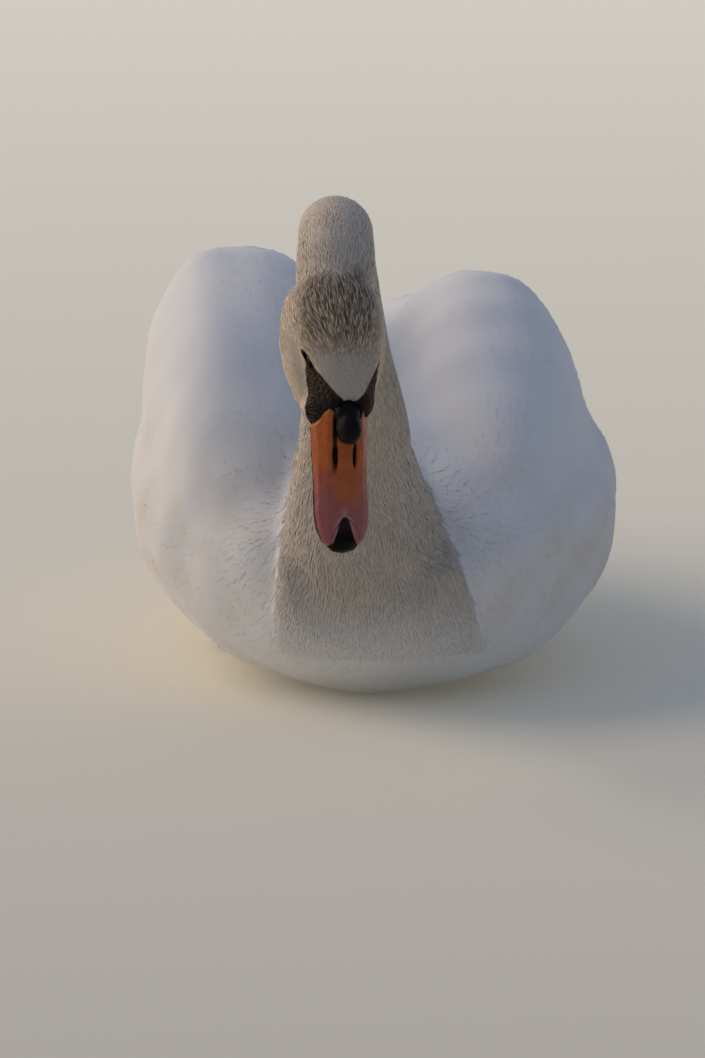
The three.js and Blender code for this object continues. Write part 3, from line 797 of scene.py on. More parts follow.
def vane_form(rows, columns, rounding=0.0, fringe=0.0, keel=0.0, pointed=False):
    """One vane's pattern: rows of (place along, half width), with a rounded or ragged end."""
    across = np.linspace(-1, 1, columns)
    grid = []
    for number, (along, half) in enumerate(rows):
        late = ramp(along, 0.35, 1.0)
        for column, place in enumerate(across):
            back = rounding * late * abs(place) ** 2.2
            if number == len(rows) - 1:
                back += fringe * (column % 2)
            grid.append((along - back, place * half, keel * (1 - abs(place)), place))
    faces = []
    for row in range(len(rows) - 1):
        for column in range(columns - 1):
            a = row * columns + column
            faces += [(a, a + 1, a + columns + 1), (a, a + columns + 1, a + columns)]
    if pointed:
        last = (len(rows) - 1) * columns
        grid.append((1.0, 0.0, keel * 0.5, 0.0))
        faces += [(last + i, last + i + 1, len(grid) - 1) for i in range(columns - 1)]
    return np.array(grid), np.array(faces)


def lay_vanes(name, material, form, lines, out, faces, half_width, lift, soft, seed, roll=7.0, slot="plumage",
              replaced=(), ragged=0.0, patches=True, hugging=False):
    """Vanes along the combed lines, each one surface with no thickness. lift is the height of root
    and tip over the skin, in mm; soft is how far the vanes take the skin's own shading at the breast
    and at the back; hugging vanes bend round the body."""
    draw = np.random.default_rng(seed)
    grid, corners = form
    steps = lines.shape[1] - 1
    roots = to_bird(lines[:, 0])
    marks = markings(roots)
    soft = mixed(*soft, ramp(roots[:, 1], 120, 330))
    shade = np.clip(0.7 * draw.random(len(lines)) + 0.3 * (0.5 + 0.6 * wander(roots, 3.2, seed)), 0, 1)
    turn = np.radians(draw.normal(0, roll, len(lines)))[:, None, None]
    sideways = unit(np.cross(unit(np.gradient(lines, axis=1)), out))
    sideways = sideways * np.cos(turn) + out * np.sin(turn)
    root_patch = (SKIN_UNWRAP[faces] * weights_on(lines[:, 0], faces)[..., None]).sum(axis=1)
    portion = COAT_LIMIT // len(corners)
    size = len(grid)
    made = []
    for part, start in enumerate(range(0, len(lines), portion)):
        some = slice(start, start + portion)
        count = len(lines[some])
        along = np.tile(grid[:, 0], (count, 1))
        if ragged:
            along += draw.normal(0, ragged, along.shape) * (grid[:, 0] > 0.7)
        along = np.clip(along, 0, 1.04)
        place = np.clip(along, 0, 1) * steps
        low = np.minimum(place.astype(int), steps - 1)
        rest = (place - low)[..., None]
        rows = np.arange(count)[:, None]
        blend = lambda knots: knots[some][rows, low] * (1 - rest) + knots[some][rows, low + 1] * rest
        up = unit(blend(out))
        half = half_width[some][:, None]
        height = lift[0][some][:, None] + (lift[1] - lift[0])[some][:, None] * along + grid[:, 2] * half
        points = blend(lines) + blend(sideways) * (grid[:, 1] * half)[..., None] * MM
        if hugging:
            near, near_faces = nearest_skin(points.reshape(-1, 3))
            points, up = near.reshape(points.shape), skin_normals(near, near_faces).reshape(points.shape)
        points = points + up * height[..., None] * MM
        points[..., 2] = np.maximum(points[..., 2], VANE_FLOOR)
        mesh = bpy.data.meshes.new(name)
        triangles = (corners[None] + (np.arange(count) * size)[:, None, None]).reshape(-1, 3)
        mesh.from_pydata(points.reshape(-1, 3), [], triangles)
        each = {**marks, "shade": shade}
        put_values(mesh, {key: np.repeat(mark[some], size) for key, mark in each.items()})
        put_values(mesh, {"along": np.tile(grid[:, 0], count), "across": np.tile(grid[:, 3], count)})
        if patches:
            spread = np.stack([grid[:, 3], grid[:, 0] * 2 - 1], axis=1) * PATCH / 2
            flat = np.clip(root_patch[some][:, None] + spread[None], 0, 1).reshape(-1, 2)
            flat = flat[triangles.ravel()].astype(np.float32)
            mesh.uv_layers.new(name="OFBake").data.foreach_set("uv", flat.ravel())
        own = normals(mesh)
        number = "" if len(lines) <= portion else f"_{part + 1}"
        made.append(piece_from(name + number, mesh, material, slot, *replaced))
        smooth = np.repeat(soft[some], size)[:, None]
        mesh.normals_split_custom_set_from_vertices(unit(own * (1 - smooth) + up.reshape(-1, 3) * smooth))
    return made


FINE_PLUMAGE = plumage("fine_plumage", 0.0)
VANED_PLUMAGE = plumage("vaned_plumage", 160.0)
FLIGHT_PLUMAGE = plumage("flight_plumage", 420.0)

PLUME = vane_form([(0.0, 0.55), (0.45, 1.0)], 3, keel=0.35, pointed=True)
TUFT = vane_form([(0.0, 0.4), (0.4, 1.0), (0.8, 0.9), (1.0, 0.55)], 5, rounding=0.1, fringe=0.07, keel=0.06)
COVERT = vane_form([(0.0, 0.45), (0.3, 0.95), (0.62, 1.0), (0.85, 0.82), (1.0, 0.42)], 5,
                   rounding=0.12, fringe=0.015, keel=0.05)


def lying(bird, out, swing):
    """The way each feather lies on the skin, turned aside by its swing."""
    way = lie(bird)
    way = unit(way - out * (way * out).sum(axis=1, keepdims=True))
    return way * np.cos(swing)[:, None] + np.cross(out, way) * np.sin(swing)[:, None]


def between(low, high, share):
    """A size that goes from low to high with a share of the place."""
    return lambda points: mixed(low, high, share(points))


def cover(name, material, form, wanted, spacing, length, half_width, tip_lift, soft, seed, root_lift=-0.1,
          jitter=9.0, swirl=14.0, steps=3, **more):
    """Covers a stretch of skin with vanes; the sizes are functions of the place, in millimetres."""
    roots, faces = scattered(spacing, wanted, seed)
    bird = to_bird(roots)
    draw = np.random.default_rng(seed + 1)
    out = skin_normals(roots, faces)
    swing = np.radians(draw.normal(0, jitter, len(roots))) + np.radians(swirl) * wander(bird, 34, seed + 2)
    way = lying(bird, out, swing)
    long = length(bird) * draw.uniform(0.82, 1.15, len(roots))
    lines, out = combed(roots, way, long * MM, steps)
    wide = half_width(bird) * draw.uniform(0.85, 1.15, len(roots))
    lift = np.full(len(roots), root_lift), tip_lift(bird) * draw.uniform(0.85, 1.1, len(roots))
    lay_vanes(name, material, form, lines, out, faces, wide, lift, soft, seed + 3, **more)


def back_of_head(points):
    return ramp(head_place(points)[0], 14, -40)


def neck_top(points):
    return ramp(neck_place(points)[0], 0.15, 0.5)


def hind_body(points):
    return ramp(points[:, 1], 60, 330)


def by_neck_edge(points):
    """1 along the edge of the neck's plumes on the breast."""
    return on_breast(points, neck_place(points)[0]) * ramp(past_neck_edge(points), -11, -4)


FLESH_TREE, WINGED = cad_tree(FLESH)


def on_wing(points):
    """Whether the flesh under each point is a wing's."""
    return WINGED[[FLESH_TREE.find_nearest(Vector(p))[2] for p in to_metres(points)]]


def on_head_plumes(points):
    return ((head_share(points) > 0.5) & (markings(points)["bare"] < 0.3) & (eye_slit(points)[0] > 1.3)
            & (head_place(points)[0] < 46))


def on_neck_plumes(points):
    return (head_share(points) <= 0.5) & (neck_share(points) > 0.5)


def on_body_feathers(points):
    return ~on_neck_plumes(points) & (head_share(points) <= 0.5) & ~on_wing(points) & (points[:, 1] > -30)


cover("head_plumes", FINE_PLUMAGE, PLUME, on_head_plumes, spacing=between(0.88, 1.22, back_of_head),
      length=between(2.7, 8.6, back_of_head), half_width=between(0.40, 0.52, back_of_head),
      tip_lift=between(0.45, 0.85, back_of_head), soft=(0.7, 0.7), seed=101, slot="neck_plumage")
cover("neck_plumes", FINE_PLUMAGE, PLUME, on_neck_plumes, spacing=between(1.55, 1.32, neck_top),
      length=lambda p: mixed(8.5, 6.8, neck_top(p)) * (1 - 0.45 * by_neck_edge(p)),
      half_width=between(0.66, 0.54, neck_top),
      tip_lift=lambda p: mixed(mixed(1.0, 1.05, neck_top(p)), 0.25, by_neck_edge(p)),
      soft=(0.74, 0.74), seed=201, jitter=7.0, slot="neck_plumage")
cover("body_feathers", VANED_PLUMAGE, TUFT, on_body_feathers, spacing=between(3.0, 6.0, hind_body),
      length=between(13.0, 32.0, hind_body), half_width=between(2.3, 5.6, hind_body),
      tip_lift=between(0.32, 1.6, hind_body), soft=(0.95, 0.6), seed=301, root_lift=-0.15,
      jitter=5.0, swirl=9.0, steps=4, ragged=0.03, hugging=True)

# ---------------- wing feathers

WING_MIDDLE = {"right": 97.0, "left": 88.0}
WING_TIP_RAISED = {"right": 6.0, "left": 0.0}
FIRST_COVERTS, LAST_COVERTS = 74.0, 560          # stations between which the coverts grow
COVERTS_END, TERTIALS_END = 655, 668             # stations past which no covert or tertial reaches
TERTIAL_LAYERS = ((505, 150, 17.0), (478, 140, 15.5), (452, 128, 15.0))      # station, length and gap
PRIMARIES = 8
TAIL_FEATHERS = 22
WING_SPAN = ([72, 130, 302, 446, 532, 650], [0.9, 1.0, 1.0, 0.84, 0.66, 0.4])
WING_FOOT = ([72, 107, 187, 279, 417, 532, 647], [116, 120, 130, 137, 146, 158, 178])
COVERT_GROWTH = ([74, 150, 260, 400, 560], [0, 0.12, 0.38, 0.8, 1.0])


def wing_row(side, station, gap, offset):
    """Roots at a station, gap apart, from one wing's foot on the flank over to the back. The rays
    start inside the wing, so low rows run on over the other wing too."""
    hand = HANDS[side]
    start = Vector(to_metres([hand * WING_MIDDLE[side] * np.interp(station, *WING_SPAN), station,
                              np.interp(station, *WING_FOOT) + 6]))
    hits = []
    for angle in np.radians(np.arange(-8, 194, 3.0)):
        spot, _, _, _ = SKIN_TREE.ray_cast(start, Vector((hand * math.cos(angle), 0, math.sin(angle))), 0.2)
        if spot is not None:
            hits.append(np.array(spot))
    if len(hits) < 4:
        return np.empty((0, 3))
    hits = np.array(hits)
    run = np.concatenate([[0], np.cumsum(np.linalg.norm(np.diff(hits, axis=0), axis=1))]) / MM
    at = np.arange(gap * offset, run[-1], gap)
    return np.stack([np.interp(at, run, hits[:, i]) for i in range(3)], axis=1)


def build_coverts(side):
    """Rows of coverts from one wing's foot, small scales in front and broad feathers behind."""
    hand = HANDS[side]
    draw = np.random.default_rng(400 + hand)
    station, roots, sizes, row = FIRST_COVERTS, [], [], 0
    while station < LAST_COVERTS:
        grown = np.interp(station, *COVERT_GROWTH)
        gap = mixed(4.6, 15.0, grown)
        spots = wing_row(side, station, gap, 0.3 + 0.5 * (row % 2))
        if len(spots):
            roots.append(spots + draw.normal(0, gap * 0.12 * MM, spots.shape))
            sizes.append(np.full(len(spots), grown))
        station += mixed(4.4, 17.0, grown)
        row += 1
    roots, faces = nearest_skin(np.vstack(roots))
    clear = neck_share(to_bird(roots)) < 0.5
    roots, faces, grown = roots[clear], faces[clear], np.concatenate(sizes)[clear]
    bird = to_bird(roots)
    count = len(roots)
    swing = np.radians(draw.normal(0, 3.0, count) + 7 * wander(bird, 120, 31))
    way = lying(bird, skin_normals(roots, faces), swing)
    length = mixed(17.0, 74.0, grown) * draw.uniform(0.9, 1.1, count)
    length = np.minimum(length, np.maximum(COVERTS_END - bird[:, 1], 16))
    lines, out = combed(roots, way, length * MM, 5)
    tip = np.interp(grown, [0, 0.2, 1], [0.35, 0.9, 1.9]) * draw.uniform(0.9, 1.1, count)
    lay_vanes(f"wing_coverts_{side}", VANED_PLUMAGE, COVERT, lines, out, faces, mixed(3.9, 12.5, grown),
              (np.full(count, -0.3), tip), (0.95, 0.55), 410 + hand, roll=0.0, ragged=0.008, hugging=True)


build_coverts("right")
build_coverts("left")

# ---------------- long feathers

LONG_VANE = vane_form([(0.0, 0.22), (0.06, 0.5), (0.16, 0.82), (0.3, 0.97), (0.45, 1.0), (0.6, 0.96),
                       (0.74, 0.84), (0.86, 0.62), (0.94, 0.4), (0.985, 0.17)], 7,
                      rounding=0.012, keel=0.10, pointed=True)
BROAD_VANE = vane_form([(0.0, 0.25), (0.08, 0.6), (0.2, 0.88), (0.38, 1.0), (0.58, 1.0), (0.75, 0.95),
                        (0.88, 0.8), (0.96, 0.56), (1.0, 0.3)], 7, rounding=0.05, keel=0.08)
VANE_THICKNESS = 0.5


def lay_long(name, form, starts, finishes, sag, half_width, tilt, seed, node):
    """Long feathers that leave the body and bow a little, and unlike the others have a thickness;
    tilt turns them about their length."""
    place = np.linspace(0, 1, 9)[None, :, None]
    lines = starts[:, None] * (1 - place) + finishes[:, None] * place
    lines[..., 2] += sag * 4 * (place * (1 - place))[..., 0]
    lines = to_metres(lines)
    _, faces = nearest_skin(lines[:, 0])
    flow = unit(lines[:, -1] - lines[:, 0])
    up = unit(np.array([0, 0, 1.0]) - flow * flow[:, 2:3])
    up = up * np.cos(tilt)[:, None] + np.cross(flow, up) * np.sin(tilt)[:, None]
    out = np.repeat(up[:, None], lines.shape[1], axis=1)
    flat = np.zeros(len(lines))
    for piece in lay_vanes(name, FLIGHT_PLUMAGE, form, lines, out, faces, half_width, (flat, flat),
                           (0.15, 0.15), seed, roll=0.0, replaced=(node,), patches=False):
        wall = piece.modifiers.new("Vane", "SOLIDIFY")
        wall.thickness = VANE_THICKNESS * MM
        wall.offset = -1.0


def build_primaries(side):
    """The folded wing tip: long quills, each lying a little inside and below the one before."""
    hand, raised = HANDS[side], WING_TIP_RAISED[side]
    order = np.arange(PRIMARIES)
    starts = np.stack([hand * (58 - 3.2 * order), 492 + 3 * order, 194 + raised - 2.0 * order], axis=1)
    finishes = np.stack([hand * (36 - 2.6 * order), 640 + 10.0 * order, 179 + raised - 2.0 * order], axis=1)
    lay_long(f"primary_feathers_{side}", LONG_VANE, starts, finishes, 2.0, 14.5 - 0.35 * order,
             hand * np.radians(26 - order), 510 + hand, f"primaries_{side}")


def build_tertials(side):
    """Long broad feathers over the rear of the back, in rows from one wing's foot."""
    hand = HANDS[side]
    draw = np.random.default_rng(520 + hand)
    for layer, (station, reach, gap) in enumerate(TERTIAL_LAYERS):
        roots = wing_row(side, station, gap, 0.35 + 0.4 * (layer % 2))
        _, faces = nearest_skin(roots)
        bird = to_bird(roots)
        still = np.zeros(len(roots))
        way = lying(bird, skin_normals(roots, faces), still)
        length = np.minimum(reach * draw.uniform(0.94, 1.05, len(roots)), TERTIALS_END - bird[:, 1])
        lines, out = combed(roots, way, length * MM, 8)
        lay_vanes(f"tertials_{side}_{layer + 1}", FLIGHT_PLUMAGE, BROAD_VANE, lines, out, faces,
                  still + 14.0, (still + 0.6, still + 2.6 + 0.5 * layer), (0.7, 0.7),
                  530 + hand + layer, roll=0.0, hugging=True)


def build_tail():
    """The tail feathers in a shallow rounded fan."""
    middle = (TAIL_FEATHERS - 1) / 2
    order = np.arange(TAIL_FEATHERS) - middle
    share = order / middle
    angle = np.radians(15.0) * share
    starts = np.stack([14.0 * share, np.full(TAIL_FEATHERS, 652.0), 153 - 5.0 * share ** 2], axis=1)
    length = 144 - 46 * np.abs(share) ** 1.8
    finishes = starts + np.stack([np.sin(angle) * length + 10 * share, np.cos(angle) * length,
                                  7.0 - 10.0 * share ** 2 - np.abs(order) * 0.12], axis=1)
    lay_long("tail_feathers", BROAD_VANE, starts, finishes, 1.0, 12.5 - 2.0 * np.abs(share),
             -np.radians(11.0) * share, 540, "tail")


for wing_side in HANDS:
    build_tertials(wing_side)
    build_primaries(wing_side)
build_tail()

# ---------------- feet

FOOT_JOINT = 398.0
LEG_SIDE = 62.0
TOES = ((17.0, 116.0), (0.0, 138.0), (-19.0, 131.0))        # each toe's turn outwards and reach


def build_foot(side, material, horn):
    """The shank and webbed foot under the belly, with its toes' joints raised a little, and claws."""
    hand = HANDS[side]
    foot = f"webbed_foot_{side}"
    mesh = remeshed(foot, [shell_of(f"foot_{side}", 0.25), shell_of(f"leg_{side}", 0.25)], 1.1)
    points = evened(places(mesh), edge_ends(mesh), 4)
    move_to(mesh, points)
    bird = to_bird(points)
    knuckles = 0.5 * np.sin((FOOT_JOINT - bird[:, 1]) / 5.2) * ramp(bird[:, 2], 3.0, 6.0)
    points = points + normals(mesh) * ((knuckles - 0.2) * MM)[:, None]
    points[:, 2] = np.maximum(points[:, 2], FOOT_FLOOR)
    move_to(mesh, points)
    piece_from(foot, mesh, material, "foot_skin", f"foot_{side}", f"leg_{side}")
    claws = bmesh.new()
    for angle, reach in TOES:
        turn = math.radians(angle) * hand
        tip = (hand * LEG_SIDE - math.sin(turn) * (reach + 1), FOOT_JOINT - math.cos(turn) * (reach + 1), 4.4)
        claw = bmesh.ops.create_cone(claws, cap_ends=True, segments=12, radius1=2.4, radius2=0.35, depth=8.5)
        aim = Matrix.Rotation(-turn, 4, "Z") @ Matrix.Rotation(math.pi / 2 + 0.22, 4, "X")
        bmesh.ops.transform(claws, matrix=Matrix.Translation(tip) @ aim, verts=claw["verts"])
    bmesh.ops.bevel(claws, geom=claws.edges[:], affect="EDGES", offset=0.25, segments=1, profile=0.5,
                    material=-1)
    mesh = mesh_of(claws, f"claws_{side}")
    move_to(mesh, to_metres(places(mesh)))
    piece_from(f"claws_{side}", mesh, horn, "foot_skin")


FOOT_FINISH = foot_skin(), claw_horn()
build_foot("right", *FOOT_FINISH)
build_foot("left", *FOOT_FINISH)

# ---------------- bill, knob, eyes

BILL_SHIFT = 1.2                 # how far the horn sits to the right of the solid's bill
RIDGE_SIDE = -4.0                # where the bill's ridge runs, between the nostrils
NAIL_SIDE = -4.4
NOSTRIL_FORWARD, NOSTRIL_OUT = 66, 6.5           # each nostril's middle, out from the ridge
# The horn's upper edge: how far forward it is at each distance from the middle, right and left
RIGHT_EDGE = ([0, 7.6, 9.7, 12.4, 15.5, 17.7, 20], [58, 40, 35.3, 33.4, 37.0, 41.6, 45])
LEFT_EDGE = ([0, 9.6, 11.7, 13.5, 15, 16.5, 20], [58, 40, 36, 36.5, 40, 44, 47])
BELL = ([106, 107.5, 110, 117, 122, 125, 127.5, 130], [-1.0, 2.0, 3.3, 5.2, 6.8, 8.6, 12, 16])


def horn_root(forward, side):
    """1 where the horn runs on under the knob and the black skin of the face."""
    middle = side - BILL_SIDE
    edge = np.where(middle < 0, np.interp(-middle, *RIGHT_EDGE), np.interp(middle, *LEFT_EDGE))
    return ramp(forward - edge, 0.7, -0.7)


def past_bell(forward, side):
    """How far outside the nail's black bell a place is, in millimetres."""
    return np.abs(side - NAIL_SIDE) - np.interp(forward, *BELL)


def bill_masks(points):
    """The bill's black, its pink blush, a painted highlight round the nail's bell and where the black breaks
    up, from places on the bill.
    """
    forward, side, dorsal = head_place(points)
    middle = side - BILL_SIDE
    from_ridge = side - RIDGE_SIDE
    nostril = np.abs(from_ridge) - NOSTRIL_OUT
    base = horn_root(forward, side)
    pit = ramp(np.hypot((forward - NOSTRIL_FORWARD) / 8.5, nostril / 1.5), 1.2, 0.85) * (dorsal > 2)
    stripe = (ramp(np.abs(from_ridge + 7.2), 1.9, 0.9) * ramp(forward, 80, 72) * ramp(forward, 34, 40)
              * (dorsal > 4))
    stripe = np.maximum(stripe, ramp(np.abs(from_ridge - 6.0), 1.2, 0.5) * ramp(forward, 76, 70)
                        * ramp(forward, 50, 56) * (dorsal > 4) * 0.8)
    lip = ramp(dorsal, -5.2, -6.6) * ramp(forward, 36, 46) * ramp(forward, 128, 118)
    bell = ramp(past_bell(forward, side - 0.6 * ramp(forward, 120, 130)), 0.5, -0.4) * (dorsal > -12)
    ink = np.maximum.reduce([base, pit, stripe * 0.92, lip, bell * (1 - 0.05 * ramp(forward, 120, 112))])
    blush = ramp(forward, 64, 104) * (0.3 + 0.7 * np.maximum(ramp(np.abs(middle), 3, 12),
                                                             ramp(forward, 92, 106)))
    # pale: a painted highlight round the top of the nail's bell
    pale = ramp(past_bell(forward, side), 4.5, 0.5) * ramp(forward, 98, 105) * ramp(forward, 124, 114)
    return {"ink": np.clip(ink, 0, 1), "blush": blush, "pale": pale,
            "edge": np.clip(stripe + 0.5 * base, 0, 1)}


def carved_bill(name, node, material, slot, voxel, rounds, carve, *extra):
    """One part of the bill: its solid remeshed, evened, carved and given its colours."""
    mesh = remeshed(name, [shell_of(node, 0.0), *extra], voxel)
    ends = edge_ends(mesh)
    bird = cheeks_out(to_bird(evened(places(mesh), ends, rounds)))
    bird -= BILL_SHIFT * ramp(head_place(bird)[0], 30, 42)[:, None] * HEAD_AXES[:, 0]
    points = to_metres(bird)
    move_to(mesh, points)
    points = points + normals(mesh) * (carve(bird) * MM)[:, None]
    move_to(mesh, evened(points, ends, 1))
    masks = bill_masks(to_bird(places(mesh)))
    if slot == "bill_black":
        masks["ink"] = np.maximum(masks["ink"], ramp(head_place(bird)[2], -3, -5))
    put_values(mesh, masks)
    piece_from(name, mesh, material, slot, node)


def horn_base():
    """The part of the bill's horn that runs up under the forehead, cut from the head's own shape."""
    base = shell_of("head", 0.15)
    for forward, dorsal, ahead, above in ((31.5, 0, 1, 0), (0, -5.0, 0, 1)):
        place = to_metres(head_to_bird(forward, 0, dorsal))
        facing = head_to_bird(ahead, 0, above) - HEAD_CENTRE
        bmesh.ops.bisect_plane(base, geom=base.verts[:] + base.edges[:] + base.faces[:], plane_co=place,
                               plane_no=-facing, clear_outer=True)
        bmesh.ops.holes_fill(base, edges=[e for e in base.edges if e.is_boundary])
    return base


def carve_upper(points):
    """Nostril slits, the ridge between them, a lip along the cutting edge."""
    forward, side, dorsal = head_place(points)
    from_ridge = side - RIDGE_SIDE
    nostril = np.abs(from_ridge) - NOSTRIL_OUT
    top = ramp(dorsal, 1, 5)
    slit = np.hypot((forward - NOSTRIL_FORWARD) / 7.5, nostril / 1.5)
    rim = np.hypot((forward - NOSTRIL_FORWARD) / 10.0, nostril / 3.4)
    depth = 0.42 + top * (0.45 * np.exp(-((rim - 1) / 0.35) ** 2) - 1.7 * ramp(slit, 1.15, 0.5))
    depth += 0.3 * ramp(dorsal, -4.6, -6.6) * ramp(forward, 44, 52)
    depth += 0.5 * np.exp(-(from_ridge / 2.6) ** 2) * ramp(forward, 58, 64) * ramp(forward, 100, 84) * top
    bell = past_bell(forward, side)
    depth += 0.22 * ramp(bell, 0.6, -0.6) - 0.18 * np.exp(-(bell / 0.7) ** 2) * ramp(forward, 104, 108)
    depth += 0.15 * wander(points, 9, 71) + 0.08 * wander(points, 4, 72)
    return depth - 2.2 * horn_root(forward, side) * ramp(dorsal, -8, -4)


def carve_nail(points):
    """As the upper bill, but the root of the nail lies a little lower beside its black bell."""
    forward, side, _ = head_place(points)
    return carve_upper(points) - 0.5 * ramp(past_bell(forward, side), -0.2, 1.2) * ramp(forward, 118, 112)


def carve_plain(points):
    """The lower bill is only a little uneven."""
    return 0.25 + 0.1 * wander(points, 7, 73)


HORN = bill_horn()
carved_bill("bill_upper_horn", "bill_upper", HORN, "bill_orange", 0.7, 5, carve_upper, horn_base())
carved_bill("bill_lower_horn", "bill_lower", HORN, "bill_orange", 0.9, 4, carve_plain)
carved_bill("bill_nail_horn", "bill_nail", HORN, "bill_black", 0.55, 5, carve_nail)


def egg(forward, dorsal, half_forward, half_side, half_dorsal):
    """A rounded lump on the middle of the head, given by its centre and half sizes there."""
    lump = bmesh.new()
    bmesh.ops.create_uvsphere(lump, u_segments=32, v_segments=20, radius=1.0)
    stretch = Matrix.Diagonal((half_side, half_dorsal, half_forward, 1.0))
    centre = Matrix.Translation(Vector(head_to_bird(forward, BILL_SIDE - 0.8, dorsal) + STATION_ZERO))
    whole = Matrix.Scale(MM, 4) @ centre @ Matrix(HEAD_AXES.tolist()).to_4x4() @ stretch
    bmesh.ops.transform(lump, matrix=whole, verts=lump.verts)
    return lump


def build_knob():
    """The knob, and its root under the black skin between the eyes."""
    lumps = [egg(46.6, 19.0, 11.0, 8.1, 11.0), egg(37.5, 16.0, 9.5, 8.6, 7.6),
             egg(34.0, 12.5, 6.5, 10.5, 6.0)]
    mesh = remeshed("bill_knob_skin", lumps, 0.6)
    points = evened(places(mesh), edge_ends(mesh), 16)
    bird = to_bird(points)
    move_to(mesh, points)
    bumps = 0.25 + 0.2 * wander(bird, 6, 21) + 0.1 * wander(bird, 2.5, 22)
    move_to(mesh, points + normals(mesh) * bumps[:, None] * MM)
    piece_from("bill_knob_skin", mesh, knob_skin("knob_skin"), "bill_black", "bill_knob")


def seat_on_head(hand, forward, dorsal):
    """Where a line in from the bird's side meets the skin of its head, in metres."""
    start = Vector(to_metres(head_to_bird(forward, hand * 50.0, dorsal)))
    return np.array(SKIN_TREE.ray_cast(start, Vector(HEAD_AXES[:, 0] * -hand), 0.06)[0])


def build_eye(side, surface, lid_skin):
    """The ball sits in its opening in the skin, looking out, with a lid round the opening."""
    hand = HANDS[side]
    spot = seat_on_head(hand, EYE_FORWARD, EYE_DORSAL)
    looking = unit(SKIN_NORMALS[np.linalg.norm(SKIN_POINTS - spot, axis=1) < 0.011].mean(axis=0))
    ball = bmesh.new()
    bmesh.ops.create_uvsphere(ball, u_segments=32, v_segments=20, radius=EYE_RADIUS)
    bmesh.ops.subdivide_edges(ball, edges=ball.edges, cuts=1, use_grid_fill=True)
    mesh = mesh_of(ball, f"eyeball_{side}")
    away = unit(places(mesh))
    gaze = away @ looking
    centre = to_bird(spot) - looking * (EYE_RADIUS - EYE_OUT)
    move_to(mesh, to_metres(centre + away * EYE_RADIUS * (1 + 0.05 * ramp(gaze, 0.7, 1.0))[:, None]))
    put_values(mesh, {"gaze": gaze})
    piece_from(f"eyeball_{side}", mesh, surface, "eye", f"eye_{side}")

    rim = bmesh.new()
    bmesh.ops.create_circle(rim, segments=8, radius=LID_THICKNESS / 2)
    bmesh.ops.rotate(rim, cent=(0, 0, 0), matrix=Matrix.Rotation(math.pi / 2, 3, "X"), verts=rim.verts)
    bmesh.ops.translate(rim, vec=(LID_REACH, 0, 0), verts=rim.verts)
    bmesh.ops.spin(rim, geom=rim.verts[:] + rim.edges[:], cent=(0, 0, 0), axis=(0, 0, 1), angle=math.tau,
                   steps=48, use_merge=True)
    bmesh.ops.recalc_face_normals(rim, faces=rim.faces)
    lid = mesh_of(rim, f"eyeball_{side}_lid")
    flat = places(lid)
    ahead = flat[:, 0] * 0.97
    above = flat[:, 1] * (0.46 - 0.018 * ahead) + LID_SLANT * ahead
    seats = [seat_on_head(hand, EYE_FORWARD + a, EYE_DORSAL + b) for a, b in zip(ahead, above)]
    move_to(lid, evened(np.array(seats), edge_ends(lid), 3) + looking * ((flat[:, 2] + 0.1) * MM)[:, None])
    reworked(lid, lambda form: bmesh.ops.recalc_face_normals(form, faces=form.faces))
    piece_from(f"eyeball_{side}_lid", lid, lid_skin, "bill_black")


build_knob()
EYE_FINISH = eye_surface(), knob_skin("lid_skin")
build_eye("right", *EYE_FINISH)
build_eye("left", *EYE_FINISH)

# ---------------- camera, floor and light

CAMERA_PLACE = [-441.705, -9537.697, 1816.485]
CAMERA_TURN, CAMERA_RISE = math.radians(-2.5), math.radians(10.0)
LENS_SHARE = 14394 / 1058        # the lens's length over the height of the picture
SUN_SIDE = Vector((-0.82, 0.38, 0.46))


def turned(thing, way, axis):
    """Turns a thing so that its axis points the given way."""
    thing.rotation_mode = "QUATERNION"
    thing.rotation_quaternion = way.to_track_quat(axis, "Y")


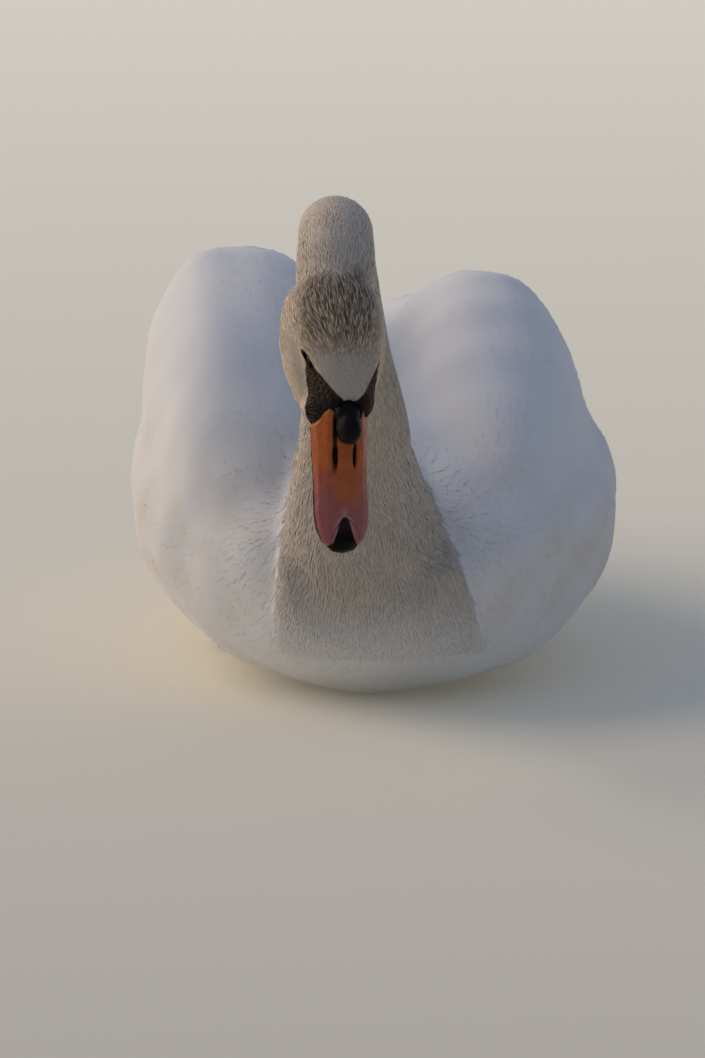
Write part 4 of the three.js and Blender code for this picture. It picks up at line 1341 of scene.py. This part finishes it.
def build_camera():
    """A long lens, far out in front and a little above."""
    lens = bpy.data.cameras.new("camera")
    lens.sensor_width = 36.0
    lens.lens = LENS_SHARE * lens.sensor_width
    lens.clip_start, lens.clip_end = 0.5, 60.0
    camera = placed("camera", lens)
    camera.location = Vector(to_metres(CAMERA_PLACE))
    turned(camera, Vector((-math.sin(CAMERA_TURN) * math.cos(CAMERA_RISE),
                           math.cos(CAMERA_TURN) * math.cos(CAMERA_RISE), -math.sin(CAMERA_RISE))), "-Z")
    bpy.context.scene.camera = camera


def build_floor():
    """A wide pale floor, greyer in front and painted lighter and creamier behind the bird, where it also
    glows as painted light though it is no lamp.
    """
    sheet = bmesh.new()
    bmesh.ops.create_grid(sheet, x_segments=8, y_segments=8, size=60)
    # painted light: the floor glows, with no lamp, more so behind the bird
    nodes = new_material("studio_floor", Roughness=0.9, Specular_IOR_Level=0.2, Emission_Strength=0.18)
    behind = nodes.fitted(nodes.part("Y", nodes.place()), -2.2, 4.0)
    # painted light: greyer in front, lighter and creamier behind the bird
    tone = nodes.mix(behind, (0.68, 0.645, 0.56), (0.98, 0.94, 0.78))
    floor = placed("studio_floor", mesh_of(sheet, "studio_floor"))
    floor.data.materials.append(nodes.surface(
        Base_Color=nodes.mix(nodes.noise(0.6, 2), tone, (0.97, 0.96, 0.93), "MULTIPLY"),
        Emission_Color=nodes.mix(behind, (0, 0, 0), (1.0, 0.93, 0.78))))


def build_light():
    """A blue-white room, and one broad warm light from the bird's right and a little behind."""
    world = bpy.data.worlds.new("studio")
    bpy.context.scene.world = world
    world.use_nodes = True
    air = world.node_tree.nodes["Background"].inputs
    nodes = Nodes(world.node_tree)
    rise = nodes.fitted(nodes.part("Z", nodes.add("ShaderNodeTexCoord").outputs["Generated"]), 0.012, 0.05)
    nodes.feed(air["Color"], nodes.mix(rise, (0.98, 0.92, 0.80), (0.52, 0.64, 0.90)))
    nodes.feed(air["Strength"], nodes.fitted(rise, 0.0, 1.0, 0.58, 0.44))
    sun = bpy.data.lights.new("warm_side", "SUN")
    sun.energy, sun.color, sun.angle = 2.0, (1.0, 0.80, 0.58), math.radians(60)
    turned(placed("warm_side", sun), SUN_SIDE, "Z")


build_camera()
build_floor()
build_light()
bpy.context.scene.view_settings.view_transform = "Standard"
